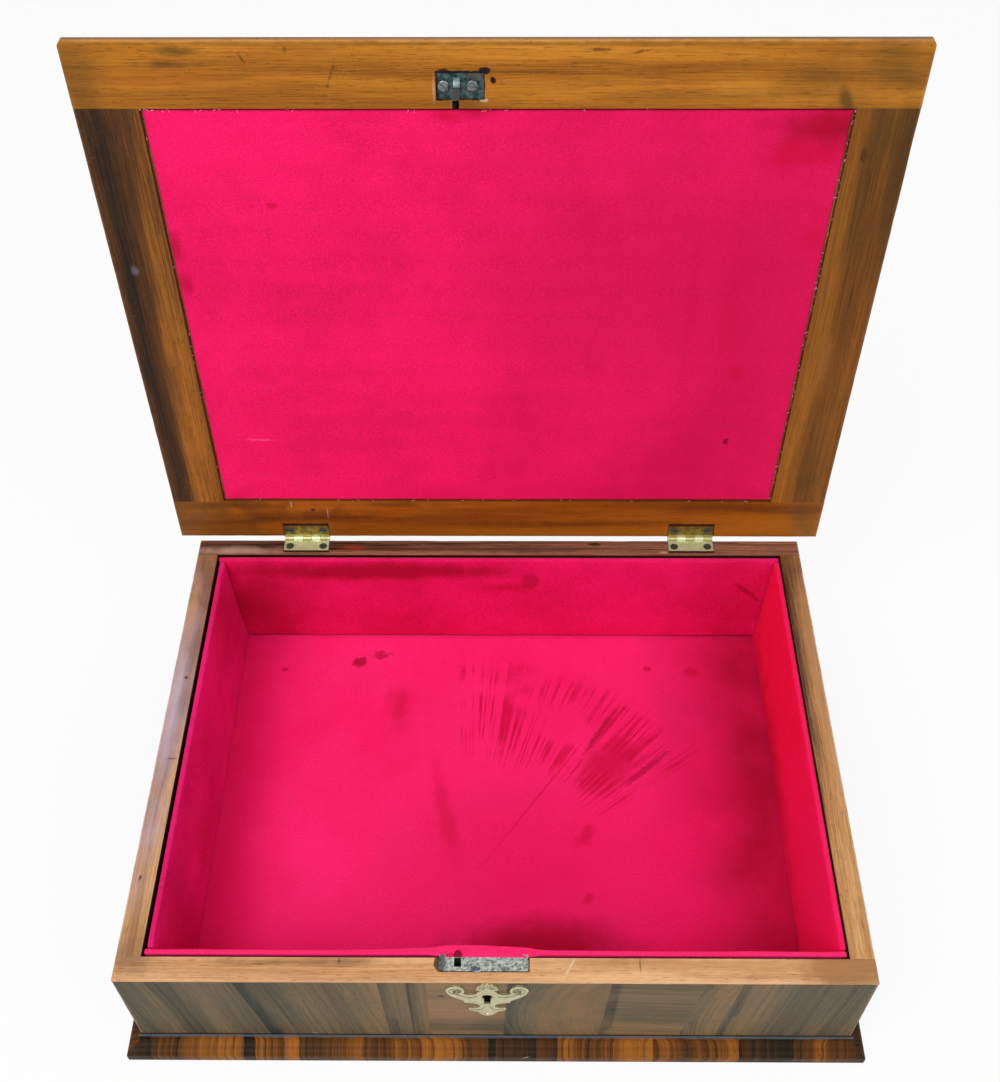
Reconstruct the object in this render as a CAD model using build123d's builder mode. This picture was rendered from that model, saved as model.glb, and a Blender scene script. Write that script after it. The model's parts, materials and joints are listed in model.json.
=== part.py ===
from build123d import *
from math import cos, radians, sin, sqrt
import os

# Walnut-veneered box with a velvet-lined well and a hinged, framed lid that opens a little past
# upright. Millimetres. Origin at the centre of the underside, +Z up, front towards -Y.

# ---- case: four dovetailed boards, veneered outside and faced on the rim ----
case_width = 430.0
case_depth = 336.4
case_height = 95.0
board_thickness = 12.9
veneer_thickness = 1.5
rim_thickness = 2.0
tail_count = 3
tail_end_width = 21.0
tail_slope = 1 / 6
bottom_thickness = 6.0
bottom_lap = 6.0

# ---- nails that hold the bottom in its rebate ----
nail_diameter = 1.6
nail_head_diameter = 3.4
nail_head_thickness = 0.8
nail_length = 18.0
nails_front = 5
nails_side = 3
nail_end_distance = 45.0

# ---- plinth moulding on the front and both sides ----
plinth_height = 16.8
plinth_projection = 9.7
plinth_fillet = 1.6
plinth_fillet_drop = 1.4
plinth_square = 6.0
plinth_waist_out = 5.6
plinth_waist_height = 10.0
plinth_cove = 2.2
plinth_round = 1.5
ground_reach = 6.6
ground_height = 5.2
ground_top_height = 12.4
block_joint = 0.06
# joints between the facing's blocks, as shares of the length from where each run starts
front_joint_shares = (0.0525, 0.1024, 0.1711, 0.2873, 0.4159, 0.4998, 0.5098, 0.6362, 0.6591,
                      0.7657, 0.8251, 0.8407, 0.9666)
side_joint_shares = (0.11, 0.2, 0.33, 0.41, 0.55, 0.62, 0.74, 0.86, 0.93)

# ---- velvet-covered linings and floor pad ----
pad_thickness = 2.0
pad_margin = 0.3
lining_thickness = 3.6
lining_drop = 1.0
lining_gap_left = 1.8
lining_gap_right = 0.6
lining_gap_front = 2.2
lining_gap_back = 0.6
lining_lean_left = 3.8
lining_lean_right = 3.1
lining_joint = 0.3

# ---- lid: two rails, two stiles, a board panel, a veneered field and a velvet pad ----
lid_side_overhang = 13.5
lid_front_overhang = 14.6
frame_thickness = 11.0
field_thickness = 1.0
front_rail_width = 36.4
back_rail_width = 35.0
left_stile_width = 37.8
right_stile_width = 35.6
moulding_radius = 9.4
field_step = 0.4
panel_rebate = 8.0
panel_thickness = 7.0
lid_pad_recess = 0.6
lid_pad_gap = 0.8
lid_corner_radius = 4.0
lid_open_angle = 93.5
lid_gap = 0.8

# ---- stop hinges ----
hinge_length = 32.0
hinge_end_distance = 77.0
hinge_reach = 9.8
leaf_thickness = 1.4
barrel_radius = 2.1
barrel_offset = 1.8
knuckle_count = 5
knuckle_gap = 0.15
knuckle_clearance = 0.2
barrel_recess = 0.3
pin_radius = 0.9
pin_clearance = 0.05
pin_end_chamfer = 0.25
stop_wall = 1.0
stop_clearance = 0.15
stop_wedge = 33.0
stop_gap_angle = 0.6
hinge_screw_spread = 11.9
hinge_screw_set = 5.6
screw_head_diameter = 5.8
screw_shank_diameter = 3.0
case_screw_length = 11.0
lid_screw_length = 8.0
slot_width = 0.8
slot_depth = 0.6

# ---- box lock let into the front board ----
lock_x = -6.3
lock_width = 50.4
selvedge_depth = 10.0
selvedge_thickness = 2.0
selvedge_corner = 2.4
selvedge_end_gap = 0.9
selvedge_side_gap = 0.15
lug_radius = 3.5
lug_standout = 1.0
lug_x = -10.2
back_plate_thickness = 1.9
back_plate_height = 35.0
casing_flange = 5.9
casing_height = 30.0
casing_wall = 0.8
mortise_clearance = 0.3
tongue_slot_width = 3.95
tongue_slot_front = 2.6
key_x = -4.3
key_below_bolt = 7.9
key_round_radius = 3.1
key_slit_width = 3.8
key_slit_reach = 9.2
key_wood_margin = 0.5
drill_pin_radius = 1.1
drill_pin_tip = 0.6
drill_pin_nose = 0.35
lock_screw_inset = 2.95
lock_screw_low = 4.0
lock_screw_high = 26.0
lock_screw_head = 4.4
lock_screw_shank = 2.2
lock_screw_length = 8.0

# ---- lock bolt, shown withdrawn; it slides towards -X ----
bolt_throw = 6.0
bolt_tip_gap = 3.0
bolt_tail_gap = 0.7
bolt_tip_length = 6.0
bolt_tip_root = 1.0
bolt_thickness = 1.8
bolt_tip_height = 4.0
bolt_tip_lift = 0.4
bolt_body_height = 7.0
bolt_top_drop = 1.6
talon_width = 3.5
talon_height = 3.0
talon_lead = 3.0
stud_inset = 9.3
stud_radius = 1.1
stud_lift = 4.6
stud_clearance = 0.05
stud_head_radius = 1.7
stud_head_thickness = 0.8
spring_thickness = 0.35
spring_length = 17.0
spring_height = 4.2
spring_centre_x = -1.0
spring_clearance = 0.05

# ---- catch plate and tongue under the lid's front rail ----
catch_left_reach = 10.5
catch_width = 25.1
catch_depth = 14.5
catch_front_reach = 7.1
catch_thickness = 1.6
catch_sink = 1.2
tongue_inset = 4.6
tongue_thickness = 3.5
tongue_breadth = 4.2
tongue_back_gap = 0.4
tongue_length = 17.0
tongue_root_front = 4.4
tongue_root_back = 2.4
tongue_root_height = 1.6
eye_margin = 1.0
eye_height = 5.0
catch_screw_left = 3.5
catch_screw_right = 6.2
catch_screw_back = 7.3
catch_head_radius = 3.3
catch_head_height = 1.3
catch_shank_diameter = 3.0
catch_screw_length = 7.5
flare_sag = 0.35
catch_slot_turns = (-45.0, -4.0)

# ---- pierced brass escutcheon ----
scutcheon_thickness = 1.2
shell_radius = 4.9
shell_centre = 10.5
shell_flute_count = 7
shell_flute_radius = 1.55
wing_eye_out = 17.0
wing_eye_up = 7.6
foot_pin_drop = 23.4
scutcheon_pin_radius = 0.7
scutcheon_pin_head = 1.2
scutcheon_pin_length = 5.4
scutcheon_pin_taper = 30.0
scutcheon_top = (0.0, 8.0)
# right half of the outline, from the keyhole's centre: shoulder, scroll, wing, waist, foot
scutcheon_curves = (
    ((5.4, 6.8), (7.6, 3.3), (11.4, 3.0), (13.6, 5.4)),
    ((13.6, 5.4), (13.4, 10.6), (16.9, 14.2), (21.2, 13.0), (23.0, 6.6)),
    ((23.0, 6.6), (20.6, 1.3), (16.6, -2.6), (13.4, -5.2)),
    ((13.2, -7.6), (9.6, -8.4), (6.0, -9.8), (4.3, -13.6)),
    ((4.3, -13.6), (6.6, -15.2), (10.6, -15.0)),
    ((10.6, -15.0), (9.8, -18.6), (6.4, -20.6), (4.2, -23.6), (0.0, -26.6)),
)

# ---- derived places ----
half_width = case_width / 2
half_depth = case_depth / 2
lid_width = case_width + 2 * lid_side_overhang
lid_depth = case_depth + lid_front_overhang
hinge_spread = half_width - hinge_end_distance
board_x = half_width - veneer_thickness
board_y = half_depth - veneer_thickness
inner_x = board_x - board_thickness
inner_y = board_y - board_thickness
board_height = case_height - rim_thickness
well_floor = bottom_thickness + pad_thickness
casing_width = lock_width - 2 * casing_flange
tongue_x = lock_x - casing_width / 2 + tongue_inset
catch_left = tongue_x - catch_left_reach
bolt_rest_tip = tongue_x + bolt_tip_gap
bolt_tail_x = lock_x + casing_width / 2 - casing_wall - bolt_tail_gap
stud_x = bolt_tail_x - stud_inset
bolt_body_low = board_height - bolt_top_drop - bolt_body_height
key_height = bolt_body_low - key_below_bolt
lining_top = case_height - lining_drop
tongue_back = -inner_y - tongue_back_gap
tongue_front = tongue_back - tongue_breadth
barrel_y = half_depth + barrel_offset
barrel_z = case_height + lid_gap / 2
open_turn = radians(lid_open_angle)

os.makedirs("parts", exist_ok=True)


def save(builder, name):
    """Label a finished piece and write it under its own name."""
    builder.part.label = name
    export_step(builder.part, f"parts/{name}.step")


def slab(plane, x_span, y_span, thickness, mode=Mode.ADD):
    """Extrude a rectangle, given by its two spans in the plane, into the running part."""
    with BuildSketch(plane) as outline:
        with Locations(((x_span[0] + x_span[1]) / 2, (y_span[0] + y_span[1]) / 2)):
            Rectangle(x_span[1] - x_span[0], y_span[1] - y_span[0])
    extrude(outline.sketch, amount=thickness, mode=mode)


# ======================================================================================
# Frames that the moving lid and the hinges are built in
# ======================================================================================
# The lid's own frame: x along the hinge line, y from the back edge to the front edge,
# z out of the underside. Its origin is the back edge of the underside.
lid_reach_dir = Vector(0, -cos(open_turn), sin(open_turn))
lid_face_dir = Vector(0, -sin(open_turn), -cos(open_turn))
hinge_axis = Vector(0, barrel_y, barrel_z)
lid_origin = hinge_axis + lid_reach_dir * barrel_offset - lid_face_dir * (lid_gap / 2)
lid_plane = Plane(origin=lid_origin, x_dir=(1, 0, 0), z_dir=lid_face_dir)


def case_leaf_frame(x):
    """Frame of a case leaf: y from the axis into the rim, z out of the leaf's open face."""
    return Plane(origin=hinge_axis + Vector(x, 0, 0), x_dir=(-1, 0, 0), z_dir=(0, 0, 1))


def lid_leaf_frame(x):
    """Frame of a lid leaf: y from the axis along the lid, z out of the leaf's open face."""
    return Plane(origin=hinge_axis + Vector(x, 0, 0), x_dir=(1, 0, 0), z_dir=lid_face_dir)


def section(frame, x):
    """Plane square to the hinge pin at x, its own axes being the reach and the face."""
    return Plane(origin=frame.origin + frame.x_dir * x, x_dir=frame.y_dir, z_dir=frame.x_dir)


knuckle_pitch = hinge_length / knuckle_count


def knuckle_start(index):
    """Where a knuckle begins along the hinge."""
    return -hinge_length / 2 + index * knuckle_pitch + knuckle_gap / 2


def leaf_reach():
    """Length of a leaf from the axis."""
    return hinge_reach + barrel_offset


def screw_points():
    """Screw centres in a leaf's own frame."""
    return [(side * hinge_screw_spread, hinge_screw_set + barrel_offset) for side in (-1, 1)]


def cut_hinge_seat(frame):
    """Let one leaf and its barrel into the wood of the running part."""
    slab(frame.offset(-lid_gap / 2), (-hinge_length / 2, hinge_length / 2), (0, leaf_reach()),
         -leaf_thickness, Mode.SUBTRACT)
    with BuildSketch(section(frame, -hinge_length / 2)) as hollow:
        Circle(barrel_radius + barrel_recess)
    extrude(hollow.sketch, amount=hinge_length, mode=Mode.SUBTRACT)


def cut_screw_bores(frame, length, diameter):
    """Bore the wood of the running part for the two screws of a leaf."""
    with BuildSketch(frame.offset(-lid_gap / 2)) as bores:
        with Locations(*screw_points()):
            Circle(diameter / 2)
    extrude(bores.sketch, amount=-length, mode=Mode.SUBTRACT)


def hinge_leaf(frame, own, other, bore_radius, name):
    """A leaf with its knuckles and the stop bar behind its barrel."""
    wedge_start = 180 + lid_open_angle / 2 + stop_gap_angle
    stop_outer = barrel_radius + stop_clearance + stop_wall
    wedge_far = stop_outer * 2
    wedge = [(0, 0)] + [
        (wedge_far * cos(radians(wedge_start + turn * stop_wedge)),
         wedge_far * sin(radians(wedge_start + turn * stop_wedge))) for turn in (0, 1)
    ]
    knuckle_length = knuckle_pitch - knuckle_gap
    with BuildPart() as leaf:
        slab(frame.offset(-lid_gap / 2), (-hinge_length / 2, hinge_length / 2),
             (0, leaf_reach()), -leaf_thickness)
        for index in other:
            with BuildSketch(section(frame, knuckle_start(index) - knuckle_gap)) as room:
                Circle(barrel_radius + knuckle_clearance)
            extrude(room.sketch, amount=knuckle_length + 2 * knuckle_gap, mode=Mode.SUBTRACT)
        for index in own:
            with BuildSketch(section(frame, knuckle_start(index))) as knuckle:
                Circle(stop_outer)
                Polygon(*wedge, align=None, mode=Mode.INTERSECT)
                Circle(barrel_radius)
            extrude(knuckle.sketch, amount=knuckle_length)
        with BuildSketch(section(frame, knuckle_start(0))) as bar:
            Circle(stop_outer)
            Circle(barrel_radius + stop_clearance, mode=Mode.SUBTRACT)
            Polygon(*wedge, align=None, mode=Mode.INTERSECT)
        extrude(bar.sketch, amount=hinge_length - knuckle_gap)
        with BuildSketch(section(frame, -hinge_length / 2)) as bore:
            Circle(bore_radius)
        extrude(bore.sketch, amount=hinge_length, mode=Mode.SUBTRACT)
        with Locations(*[frame.offset(-lid_gap / 2) * Pos(x, y, 0) for x, y in screw_points()]):
            with Locations((0, 0, -leaf_thickness / 2)):
                Cone(screw_shank_diameter / 2, screw_head_diameter / 2, leaf_thickness,
                     mode=Mode.SUBTRACT)
    save(leaf, name)


def countersunk_screws(frame, points, head, shank, sink, length, name):
    """Slotted screws with flat heads flush in a plate; z of the frame looks out of the plate."""
    with BuildPart(frame) as screws:
        with Locations(*[(x, y, -sink / 2) for x, y in points]):
            Cone(shank / 2, head / 2, sink)
        with Locations(*[(x, y, -(sink + length) / 2) for x, y in points]):
            Cylinder(shank / 2, length - sink)
        with Locations(*[(x, y, -slot_depth / 2) for x, y in points]):
            Box(head, slot_width, slot_depth, mode=Mode.SUBTRACT)
    save(screws, name)


# ======================================================================================
# Case boards, joined by through dovetails under the veneer
# ======================================================================================
tail_pitch = board_height / tail_count
tail_centres = [(index + 0.5) * tail_pitch for index in range(tail_count)]
tail_neck_width = tail_end_width - 2 * board_thickness * tail_slope


def tail_outline(side_x, front):
    """Sketch of the tails at one corner, on the inner or outer face of a side board."""
    with BuildSketch(Plane.YZ.offset(side_x)) as tails:
        for centre in tail_centres:
            Polygon(
                (front * inner_y, centre - tail_neck_width / 2),
                (front * board_y, centre - tail_end_width / 2),
                (front * board_y, centre + tail_end_width / 2),
                (front * inner_y, centre + tail_neck_width / 2),
                align=None,
            )
    return tails.sketch


def cut_bottom_rebate():
    """Remove the rebate that the bottom board lies in."""
    slab(Plane.XY, (-inner_x - bottom_lap, inner_x + bottom_lap),
         (-inner_y - bottom_lap, inner_y + bottom_lap), bottom_thickness, Mode.SUBTRACT)


nail_inset = bottom_lap / 2
nail_xs = [-inner_x + nail_end_distance + index * 2 * (inner_x - nail_end_distance)
           / (nails_front - 1) for index in range(nails_front)]
nail_ys = [-inner_y + nail_end_distance + index * 2 * (inner_y - nail_end_distance)
           / (nails_side - 1) for index in range(nails_side)]
nail_points = (
    [(x, side * (inner_y + nail_inset)) for x in nail_xs for side in (-1, 1)]
    + [(side * (inner_x + nail_inset), y) for y in nail_ys for side in (-1, 1)]
)


def cut_nail_bores():
    """Bore the running part for the nails in the bottom."""
    with BuildSketch() as bores:
        with Locations(*nail_points):
            Circle(nail_diameter / 2)
    extrude(bores.sketch, amount=nail_length, mode=Mode.SUBTRACT)


selvedge_front = -inner_y + back_plate_thickness - selvedge_depth
selvedge_back = -inner_y + back_plate_thickness
casing_front = selvedge_front
casing_low = board_height - casing_height
slot_front = selvedge_front + tongue_slot_front


def key_outline(plane, margin):
    """Keyhole outline: a round with a slit below it, let out by a margin."""
    with BuildSketch(plane) as keyhole:
        with Locations((key_x, key_height)):
            Circle(key_round_radius + margin)
        with Locations((key_x, key_height - (key_slit_reach + margin) / 2)):
            Rectangle(key_slit_width + 2 * margin, key_slit_reach + margin)
    return keyhole.sketch


lock_screw_points = [
    (lock_x + side * (lock_width / 2 - lock_screw_inset), board_height - back_plate_height + up)
    for side in (-1, 1) for up in (lock_screw_low, lock_screw_high)
]
lock_face = Plane.XZ.offset(-selvedge_back)
scutcheon_pin_points = [
    (key_x - wing_eye_out, key_height + wing_eye_up),
    (key_x + wing_eye_out, key_height + wing_eye_up),
    (key_x, key_height - foot_pin_drop),
]
front_face = Plane.XZ.offset(half_depth)


def cut_scutcheon_pin_bores():
    """Bore the running part for the pins of the escutcheon."""
    with BuildSketch(front_face) as bores:
        with Locations(*scutcheon_pin_points):
            Circle(scutcheon_pin_radius)
    extrude(bores.sketch, amount=-scutcheon_pin_length, mode=Mode.SUBTRACT)


with BuildPart() as front_board:
    slab(Plane.XY, (-board_x, board_x), (-board_y, -inner_y), board_height)
    for face_x in (-board_x, inner_x):
        extrude(tail_outline(face_x, -1), amount=board_thickness, mode=Mode.SUBTRACT)
    cut_bottom_rebate()
    cut_nail_bores()
    # mortise for the lock casing, open at the top under the selvedge
    slab(Plane.XY.offset(casing_low - mortise_clearance),
         (lock_x - casing_width / 2 - mortise_clearance, lock_x + casing_width / 2 + mortise_clearance),
         (casing_front, -inner_y), casing_height + mortise_clearance, Mode.SUBTRACT)
    extrude(key_outline(Plane.XZ.offset(inner_y), key_wood_margin), amount=board_thickness,
            mode=Mode.SUBTRACT)
    with BuildSketch(lock_face) as screw_bores:
        with Locations(*lock_screw_points):
            Circle(lock_screw_shank / 2)
    extrude(screw_bores.sketch, amount=lock_screw_length, mode=Mode.SUBTRACT)
    cut_scutcheon_pin_bores()
save(front_board, "front_board")

with BuildPart() as back_board:
    slab(Plane.XY, (-board_x, board_x), (inner_y, board_y), board_height)
    for face_x in (-board_x, inner_x):
        extrude(tail_outline(face_x, 1), amount=board_thickness, mode=Mode.SUBTRACT)
    cut_bottom_rebate()
    cut_nail_bores()
    for hinge_x in (-hinge_spread, hinge_spread):
        cut_hinge_seat(case_leaf_frame(hinge_x))
        cut_screw_bores(case_leaf_frame(hinge_x), case_screw_length, screw_shank_diameter)
save(back_board, "back_board")

for name, face_x in (("left_board", -board_x), ("right_board", inner_x)):
    with BuildPart() as side_board:
        slab(Plane.XY, (face_x, face_x + board_thickness), (-inner_y, inner_y), board_height)
        for front in (-1, 1):
            extrude(tail_outline(face_x, front), amount=board_thickness)
        cut_bottom_rebate()
        cut_nail_bores()
    save(side_board, name)

with BuildPart() as bottom_board:
    slab(Plane.XY, (-inner_x - bottom_lap, inner_x + bottom_lap),
         (-inner_y - bottom_lap, inner_y + bottom_lap), bottom_thickness)
    cut_nail_bores()
    with BuildSketch() as head_bores:
        with Locations(*nail_points):
            Circle(nail_head_diameter / 2)
    extrude(head_bores.sketch, amount=nail_head_thickness, mode=Mode.SUBTRACT)
save(bottom_board, "bottom_board")

with BuildPart() as bottom_nails:
    with BuildSketch() as heads:
        with Locations(*nail_points):
            Circle(nail_head_diameter / 2)
    extrude(heads.sketch, amount=nail_head_thickness)
    with BuildSketch() as shanks:
        with Locations(*nail_points):
            Circle(nail_diameter / 2)
    extrude(shanks.sketch, amount=nail_length)
save(bottom_nails, "bottom_nails")

# ======================================================================================
# Veneers on the four faces, and facings on the rim
# ======================================================================================
with BuildPart() as front_veneer:
    slab(Plane.XY, (-half_width, half_width), (-half_depth, -board_y), board_height)
    extrude(key_outline(Plane.XZ.offset(board_y), key_wood_margin), amount=veneer_thickness,
            mode=Mode.SUBTRACT)
    cut_scutcheon_pin_bores()
save(front_veneer, "front_veneer")

with BuildPart() as back_veneer:
    slab(Plane.XY, (-half_width, half_width), (board_y, half_depth), board_height)
    for hinge_x in (-hinge_spread, hinge_spread):
        cut_hinge_seat(case_leaf_frame(hinge_x))
save(back_veneer, "back_veneer")

for name, face_x in (("left_veneer", -half_width), ("right_veneer", board_x)):
    with BuildPart() as side_veneer:
        slab(Plane.XY, (face_x, face_x + veneer_thickness), (-board_y, board_y), board_height)
    save(side_veneer, name)

rim_plane = Plane.XY.offset(board_height)
with BuildPart() as front_rim:
    slab(rim_plane, (-half_width, half_width), (-half_depth, -inner_y), rim_thickness)
    with BuildSketch(rim_plane) as selvedge_seat:
        with Locations((lock_x, (selvedge_front - selvedge_side_gap - inner_y) / 2)):
            Rectangle(lock_width + 2 * selvedge_end_gap,
                      -inner_y - selvedge_front + selvedge_side_gap)
        with Locations((lug_x, selvedge_front + lug_radius - lug_standout)):
            Circle(lug_radius + selvedge_side_gap)
    extrude(selvedge_seat.sketch, amount=rim_thickness, mode=Mode.SUBTRACT)
save(front_rim, "front_rim")

with BuildPart() as back_rim:
    slab(rim_plane, (-half_width, half_width), (inner_y, half_depth), rim_thickness)
    for hinge_x in (-hinge_spread, hinge_spread):
        cut_hinge_seat(case_leaf_frame(hinge_x))
        cut_screw_bores(case_leaf_frame(hinge_x), case_screw_length, screw_shank_diameter)
save(back_rim, "back_rim")

for name, rim_x in (("left_rim", -half_width), ("right_rim", inner_x)):
    with BuildPart() as side_rim:
        slab(rim_plane, (rim_x, rim_x + half_width - inner_x), (-inner_y, inner_y), rim_thickness)
    save(side_rim, name)


# ======================================================================================
# Plinth: a softwood ground faced with short cross-grained walnut blocks, mitred in front
# ======================================================================================
def plinth_profile():
    """Moulding in section, x out from the case: square foot, round, cove and top fillet."""
    cove_top = (plinth_fillet, plinth_height - plinth_fillet_drop)
    waist = (plinth_waist_out, plinth_waist_height)
    foot_top = (plinth_projection, plinth_square)
    cove_mid = ((cove_top[0] + waist[0]) / 2 - plinth_cove / 2,
                (cove_top[1] + waist[1]) / 2 - plinth_cove / 2)
    round_mid = ((waist[0] + foot_top[0]) / 2 + plinth_round / 2,
                 (waist[1] + foot_top[1]) / 2 + plinth_round / 2)
    with BuildLine() as edge:
        Polyline((0, 0), (0, plinth_height), (plinth_fillet, plinth_height), cove_top)
        ThreePointArc(cove_top, cove_mid, waist)
        ThreePointArc(waist, round_mid, foot_top)
        Polyline(foot_top, (plinth_projection, 0), (0, 0))
    return make_face(edge.edges(), mode=Mode.PRIVATE)


def ground_profile():
    """Softwood ground behind the facing."""
    with BuildSketch() as ground:
        Polygon((0, 0), (ground_reach, 0), (ground_reach, ground_height), (0, ground_top_height),
                align=None)
    return ground.sketch


def plinth_plan(side):
    """Plan of one length of plinth, mitred at its front corners."""
    reach = plinth_projection
    outer_x, outer_y = half_width + reach, half_depth + reach
    with BuildSketch() as plan:
        if side == "front":
            Polygon((-half_width, -half_depth), (half_width, -half_depth),
                    (outer_x, -outer_y), (-outer_x, -outer_y), align=None)
        else:
            sign = 1 if side == "right" else -1
            Polygon((sign * half_width, -half_depth), (sign * outer_x, -outer_y),
                    (sign * outer_x, half_depth),
                    (sign * half_width, half_depth), align=None)
    return plan.sketch


def plinth_run(side):
    """Plane square to one length of plinth, and that length."""
    reach = plinth_projection
    if side == "front":
        start = Vector(half_width + reach, -half_depth, 0)
        return Plane(origin=start, x_dir=(0, -1, 0), z_dir=(-1, 0, 0)), case_width + 2 * reach
    if side == "right":
        start = Vector(half_width, half_depth, 0)
        return Plane(origin=start, x_dir=(1, 0, 0), z_dir=(0, -1, 0)), case_depth + reach
    start = Vector(-half_width, -half_depth - reach, 0)
    return Plane(origin=start, x_dir=(-1, 0, 0), z_dir=(0, 1, 0)), case_depth + reach


for side, joint_shares in (("front", front_joint_shares), ("left", side_joint_shares),
                           ("right", side_joint_shares)):
    run_plane, run_length = plinth_run(side)
    ground_face = run_plane.location * ground_profile()
    with BuildPart() as plinth_ground:
        extrude(ground_face, amount=run_length)
        extrude(plinth_plan(side), amount=plinth_height, mode=Mode.INTERSECT)
    save(plinth_ground, f"plinth_ground_{side}")

    facing_face = plinth_profile() - ground_profile()
    joints = [share * run_length for share in (0, *joint_shares, 1)]
    with BuildPart() as plinth_facing:
        for start, end in zip(joints, joints[1:]):
            extrude(run_plane.offset(start).location * facing_face,
                    amount=end - start - block_joint)
        extrude(plinth_plan(side), amount=plinth_height, mode=Mode.INTERSECT)
    save(plinth_facing, f"plinth_{side}")

# ======================================================================================
# Linings and floor pad
# ======================================================================================
with BuildPart() as floor_pad:
    slab(Plane.XY.offset(bottom_thickness), (-inner_x + pad_margin, inner_x - pad_margin),
         (-inner_y + pad_margin, inner_y - pad_margin), pad_thickness)
save(floor_pad, "floor_pad")

lining_height = lining_top - well_floor
lining_plane = Plane.XY.offset(well_floor)
lining_front_face = -inner_y + lining_gap_front + lining_thickness
lining_back_face = inner_y - lining_gap_back - lining_thickness

with BuildPart() as lining_front:
    slab(lining_plane, (-inner_x + pad_margin, inner_x - pad_margin),
         (lining_front_face - lining_thickness, lining_front_face), lining_height)
save(lining_front, "lining_front")

with BuildPart() as lining_back:
    slab(lining_plane, (-inner_x + pad_margin, inner_x - pad_margin),
         (lining_back_face, lining_back_face + lining_thickness), lining_height)
save(lining_back, "lining_back")

# the side linings lean outwards, away from the well at the top
for side, sign, gap, lean in (("left", -1, lining_gap_left, lining_lean_left),
                              ("right", 1, lining_gap_right, lining_lean_right)):
    top_outer = inner_x - gap
    with BuildPart() as side_lining:
        with BuildSketch(Plane.XZ.offset(-lining_back_face + lining_joint)):
            Polygon((sign * top_outer, lining_top),
                    (sign * (top_outer - lining_thickness), lining_top),
                    (sign * (top_outer - lining_thickness - lean), well_floor),
                    (sign * (top_outer - lean), well_floor), align=None)
        extrude(amount=lining_back_face - lining_front_face - 2 * lining_joint)
    save(side_lining, f"lining_{side}")

# ======================================================================================
# Box lock
# ======================================================================================
with BuildPart() as lock_plate:
    # selvedge, flush with the rim
    with BuildSketch(rim_plane) as selvedge:
        with Locations((lock_x, (selvedge_front + selvedge_back) / 2)):
            Rectangle(lock_width, selvedge_depth)
        fillet(selvedge.vertices().group_by(Axis.Y)[0].sort_by(Axis.X)[0], selvedge_corner)
        with Locations((lug_x, selvedge_front + lug_radius - lug_standout)):
            Circle(lug_radius)
        with Locations((tongue_x, (slot_front - inner_y) / 2)):
            Rectangle(tongue_slot_width, -inner_y - slot_front, mode=Mode.SUBTRACT)
    extrude(selvedge.sketch, amount=selvedge_thickness)
    # back plate against the inner face of the wall
    with BuildSketch(lock_face) as back_plate:
        with Locations((lock_x, board_height - back_plate_height / 2)):
            Rectangle(lock_width, back_plate_height)
        with Locations((key_x, key_height)):
            Circle(drill_pin_radius, mode=Mode.SUBTRACT)
        with Locations((stud_x, bolt_body_low + stud_lift)):
            Circle(stud_radius, mode=Mode.SUBTRACT)
    extrude(back_plate.sketch, amount=back_plate_thickness)
    with Locations(*[lock_face * Pos(x, z, 0) for x, z in lock_screw_points]):
        with Locations((0, 0, back_plate_thickness / 2)):
            Cone(lock_screw_head / 2, lock_screw_shank / 2, back_plate_thickness,
                 mode=Mode.SUBTRACT)
save(lock_plate, "lock_plate")

with BuildPart() as lock_casing:
    slab(Plane.XZ.offset(inner_y), (lock_x - casing_width / 2, lock_x + casing_width / 2),
         (casing_low, board_height), -inner_y - casing_front)
    slab(Plane.XZ.offset(inner_y),
         (lock_x - casing_width / 2 + casing_wall, lock_x + casing_width / 2 - casing_wall),
         (casing_low + casing_wall, board_height), -inner_y - casing_front - casing_wall,
         Mode.SUBTRACT)
    extrude(key_outline(Plane.XZ.offset(inner_y), 0), amount=board_thickness, mode=Mode.SUBTRACT)
save(lock_casing, "lock_casing")

with BuildPart() as drill_pin:
    with BuildSketch(lock_face) as pin_round:
        with Locations((key_x, key_height)):
            Circle(drill_pin_radius)
    extrude(pin_round.sketch, amount=half_depth + selvedge_back - drill_pin_tip)
    fillet(drill_pin.edges().group_by(Axis.Y)[0], drill_pin_nose)
save(drill_pin, "drill_pin")

bolt_y = (tongue_back + tongue_front) / 2
bolt_face = Plane.XZ.offset(-bolt_y - bolt_thickness / 2)
with BuildPart() as lock_bolt:
    with BuildSketch(bolt_face) as bolt_outline:
        with Locations(((bolt_rest_tip + bolt_tip_length + bolt_tail_x) / 2,
                        bolt_body_low + bolt_body_height / 2)):
            Rectangle(bolt_tail_x - bolt_rest_tip - bolt_tip_length, bolt_body_height)
        with Locations((bolt_rest_tip + (bolt_tip_length + bolt_tip_root) / 2,
                        bolt_body_low + bolt_tip_lift + bolt_tip_height / 2)):
            Rectangle(bolt_tip_length + bolt_tip_root, bolt_tip_height)
        with Locations((key_x + talon_lead, bolt_body_low + talon_height / 2)):
            Rectangle(talon_width, talon_height, mode=Mode.SUBTRACT)
        with Locations((stud_x + bolt_throw / 2, bolt_body_low + stud_lift)):
            SlotCenterToCenter(bolt_throw, 2 * (stud_radius + stud_clearance),
                               mode=Mode.SUBTRACT)
    extrude(bolt_outline.sketch, amount=bolt_thickness)
save(lock_bolt, "lock_bolt")

with BuildPart() as guide_stud:
    with BuildSketch(lock_face) as stud_round:
        with Locations((stud_x, bolt_body_low + stud_lift)):
            Circle(stud_radius)
    extrude(stud_round.sketch, amount=selvedge_back - bolt_y + bolt_thickness / 2 + stud_clearance)
    with BuildSketch(Plane.XZ.offset(-bolt_y + bolt_thickness / 2 + stud_clearance)) as stud_head:
        with Locations((stud_x, bolt_body_low + stud_lift)):
            Circle(stud_head_radius)
    extrude(stud_head.sketch, amount=stud_head_thickness)
save(guide_stud, "guide_stud")

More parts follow.
